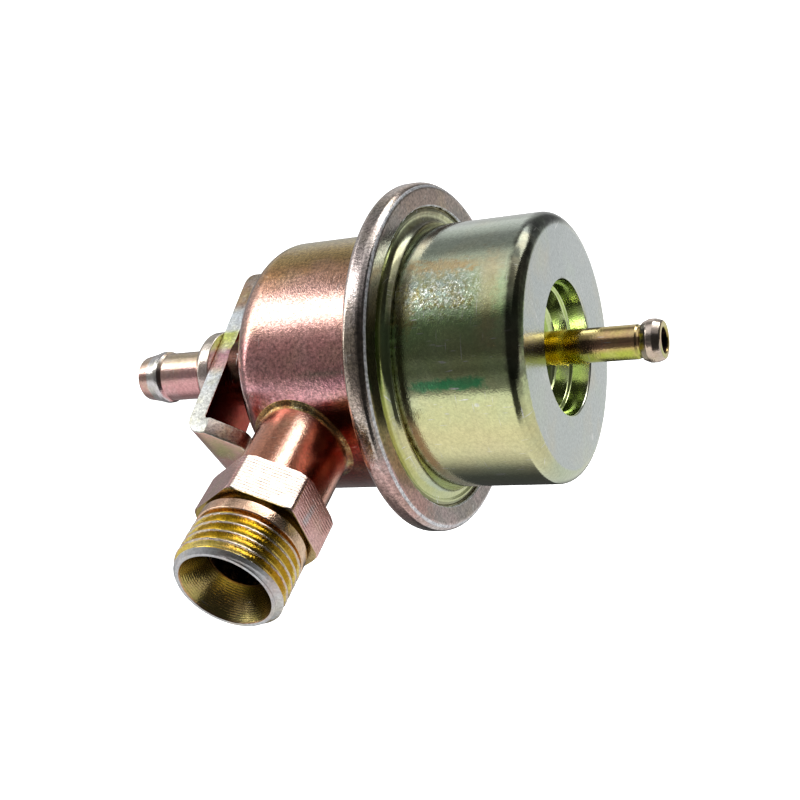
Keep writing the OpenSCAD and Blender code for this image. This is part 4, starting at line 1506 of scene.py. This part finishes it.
@dataclass
class Studio:
    """Light dome, floor, lamp, world and camera, with lengths in millimetres.

    The dome's sides pass into each other between two values along the can's axis.
    """

    camera_at: Corner = (94.73, -87.57, 101.67)
    forward: Corner = (-0.4549, 0.6893, -0.5638)
    up: Corner = (0.0525, 0.6527, 0.7557)
    lens: float = 55.08
    floor_at: float = -160.0
    floor_half: float = 4000.0
    floor_glow: float = 0.75
    dome_r: float = 900.0
    back_to_left: Point = (-0.58, -0.54)
    left_to_middle: Point = (-0.46, -0.42)
    middle_to_edge: Point = (-0.335, -0.305)
    edge_slant: float = 0.1
    near_to_far: Point = (-0.12, 0.08)
    right_to_end: Point = (0.58, 0.65)
    fill: float = 0.35
    lamp_at: Corner = (0.0, 50.0, 900.0)
    lamp_side: float = 900.0
    lamp_power: float = 14.0

    def add(self, bm: bmesh.types.BMesh, name: str, material: bpy.types.Material) -> bpy.types.Object:
        """Make a stage object from a bmesh.

        Args:
            bm: Its shape, which is freed.
            name: Its name.
            material: Its material.

        Returns:
            The object, marked as stage.
        """
        mesh = bpy.data.meshes.new(name)
        bm.to_mesh(mesh)
        bm.free()
        mesh.materials.append(material)
        made = bpy.data.objects.new(name, mesh)
        bpy.context.scene.collection.objects.link(made)
        return made

    def dome_cloth(self, middle: Vector) -> bpy.types.Material:
        """Build the dome's glowing cloth.

        Args:
            middle: The dome's centre, in metres.

        Returns:
            The finished material.
        """
        material = bpy.data.materials.new("dome_cloth")
        material.use_nodes = True
        material.node_tree.nodes.clear()
        board = Board(material.node_tree)
        offset = board.add("VectorMath", operation="SUBTRACT")
        board.join(board.add("TexCoord").outputs["Object"], offset.inputs[0])
        offset.inputs[1].default_value = middle
        aim = board.add("VectorMath", operation="NORMALIZE")
        board.join(offset.outputs["Vector"], aim.inputs[0])
        split = board.add("SeparateXYZ")
        board.join(aim.outputs["Vector"], split.inputs[0])
        along = split.outputs["X"]
        angle = board.math("ARCTAN2", split.outputs["Z"], split.outputs["Y"])
        turn = board.math("FRACT", board.math("MULTIPLY_ADD", angle, 1 / FULL_TURN, 1.0))
        levels = {side: board.ramp(turn, [(at, (level, level, level, 1.0)) for at, level in rows])
                  for side, rows in DOME_ROWS.items()}
        slant = board.math("MULTIPLY_ADD", split.outputs["Z"], self.edge_slant, along)
        near = board.mix(board.window(along, *self.back_to_left), levels[Side.BACK], levels[Side.LEFT])
        near = board.mix(board.window(along, *self.left_to_middle), near, levels[Side.MIDDLE])
        near = board.mix(board.window(slant, *self.middle_to_edge), near, levels[Side.EDGE])
        far = board.mix(board.window(along, *self.right_to_end), levels[Side.RIGHT], levels[Side.END])
        glow = board.add("Emission")
        board.join(board.mix(board.window(along, *self.near_to_far), near, far), glow.inputs["Color"])
        board.join(glow.outputs[0], board.add("OutputMaterial").inputs["Surface"])
        return material

    def build_dome(self) -> None:
        """Build the painted light dome, which only reflections see."""
        middle = CAN.centre * MM
        bm = bmesh.new()
        bmesh.ops.create_uvsphere(bm, u_segments=64, v_segments=32, radius=self.dome_r * MM,
                                  matrix=Matrix.Translation(middle))
        dome = self.add(bm, "light_dome", self.dome_cloth(middle))
        dome.visible_camera = False
        dome.visible_diffuse = False
        dome.visible_shadow = False

    def build_floor(self) -> None:
        """Build the plain pale floor far below the held part."""
        material = bpy.data.materials.new("pale_floor_paint")
        material.use_nodes = True
        board = Board(material.node_tree)
        shader = material.node_tree.nodes["Principled BSDF"]
        shader.inputs["Base Color"].default_value = (0.85, 0.85, 0.85, 1.0)
        shader.inputs["Roughness"].default_value = 0.9
        shader.inputs["Emission Color"].default_value = (1.0, 1.0, 1.0, 1.0)
        seen = board.add("LightPath").outputs["Is Camera Ray"]
        board.join(board.math("MULTIPLY", seen, self.floor_glow), shader.inputs["Emission Strength"])
        bm = bmesh.new()
        bmesh.ops.create_grid(bm, x_segments=1, y_segments=1, size=self.floor_half * MM,
                              matrix=Matrix.Translation((0, 0, self.floor_at * MM)))
        floor = self.add(bm, "pale_floor", material)
        floor.visible_glossy = False

    def build_lights(self) -> None:
        """Set the white world and one soft lamp overhead."""
        world = bpy.data.worlds.new("white_studio")
        bpy.context.scene.world = world
        world.use_nodes = True
        board = Board(world.node_tree)
        back = world.node_tree.nodes["Background"]
        back.inputs["Color"].default_value = (1.0, 1.0, 1.0, 1.0)
        rays = board.add("LightPath")
        seen = board.math("MAXIMUM", rays.outputs["Is Camera Ray"], rays.outputs["Is Glossy Ray"])
        seen = board.math("MAXIMUM", seen, rays.outputs["Is Transmission Ray"])
        board.join(board.window(seen, 0.0, 1.0, self.fill, 1.0), back.inputs["Strength"])
        lamp = bpy.data.lights.new("overhead_softbox", "AREA")
        lamp.shape = "RECTANGLE"
        lamp.size = self.lamp_side * MM
        lamp.size_y = self.lamp_side * MM
        lamp.energy = self.lamp_power
        holder = bpy.data.objects.new("overhead_softbox", lamp)
        holder.location = Vector(self.lamp_at) * MM
        holder.visible_glossy = False
        bpy.context.scene.collection.objects.link(holder)

    def build_camera(self) -> None:
        """Set the camera at the photograph's viewing angle."""
        data = bpy.data.cameras.new("photo_view")
        data.sensor_width = 36.0
        data.lens = self.lens
        data.clip_start = 0.005
        data.clip_end = 20.0
        camera = bpy.data.objects.new("photo_view", data)
        back = -Vector(self.forward).normalized()
        right = Vector(self.up).cross(back).normalized()
        rise = back.cross(right)
        axes = Matrix((right, rise, back)).transposed().to_4x4()
        camera.matrix_world = Matrix.Translation(Vector(self.camera_at) * MM) @ axes
        bpy.context.scene.collection.objects.link(camera)
        bpy.context.scene.camera = camera

    def build(self) -> None:
        """Build the whole studio."""
        self.build_dome()
        self.build_floor()
        self.build_lights()
        self.build_camera()
        bpy.context.scene.view_settings.view_transform = "Standard"


def dress_inner_parts() -> None:
    """Give the sealed inner pieces their plain finishes."""
    for part, finish in INNER_FINISHES.items():
        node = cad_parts[part.value]
        material = finish.build()
        if node.data.materials:
            for index in range(len(node.data.materials)):
                node.data.materials[index] = material
        else:
            node.data.materials.append(material)
        LOG.info("%s: %s", part.value, finish.name)


def main() -> None:
    """Build the pieces with their finishes, and then the studio."""
    logging.basicConfig(level=logging.INFO, format="%(message)s")
    effects = Effects()
    can = CrimpedCan()
    tubes = HoseTubes()
    inlet = InletFitting()
    bracket = LocatingBracket()
    flex = FlexParts()
    can.build_housing(HOUSING_FINISH.build(effects))
    can.build_cover(COVER_FINISH.build(effects))
    tubes.build_nipple(NIPPLE_FINISH.build(effects))
    tubes.build_return(RETURN_FINISH.build(effects))
    inlet.build_fitting(FITTING_FINISH.build(effects))
    inlet.build_braze(can, BRAZE_FINISH.build(effects))
    strip_finishes = [finish.build(effects) for finish in (INNER_FACE_PAINTED_SHADE_FINISH, OUTER_FACE_FINISH, EDGE_FINISH)]
    bracket.build(*strip_finishes)
    flex.build_diaphragm(FABRIC_FINISH.build())
    flex.build_spring(WIRE_FINISH.build())
    dress_inner_parts()
    Studio().build()


if __name__ == "__main__":
    main()
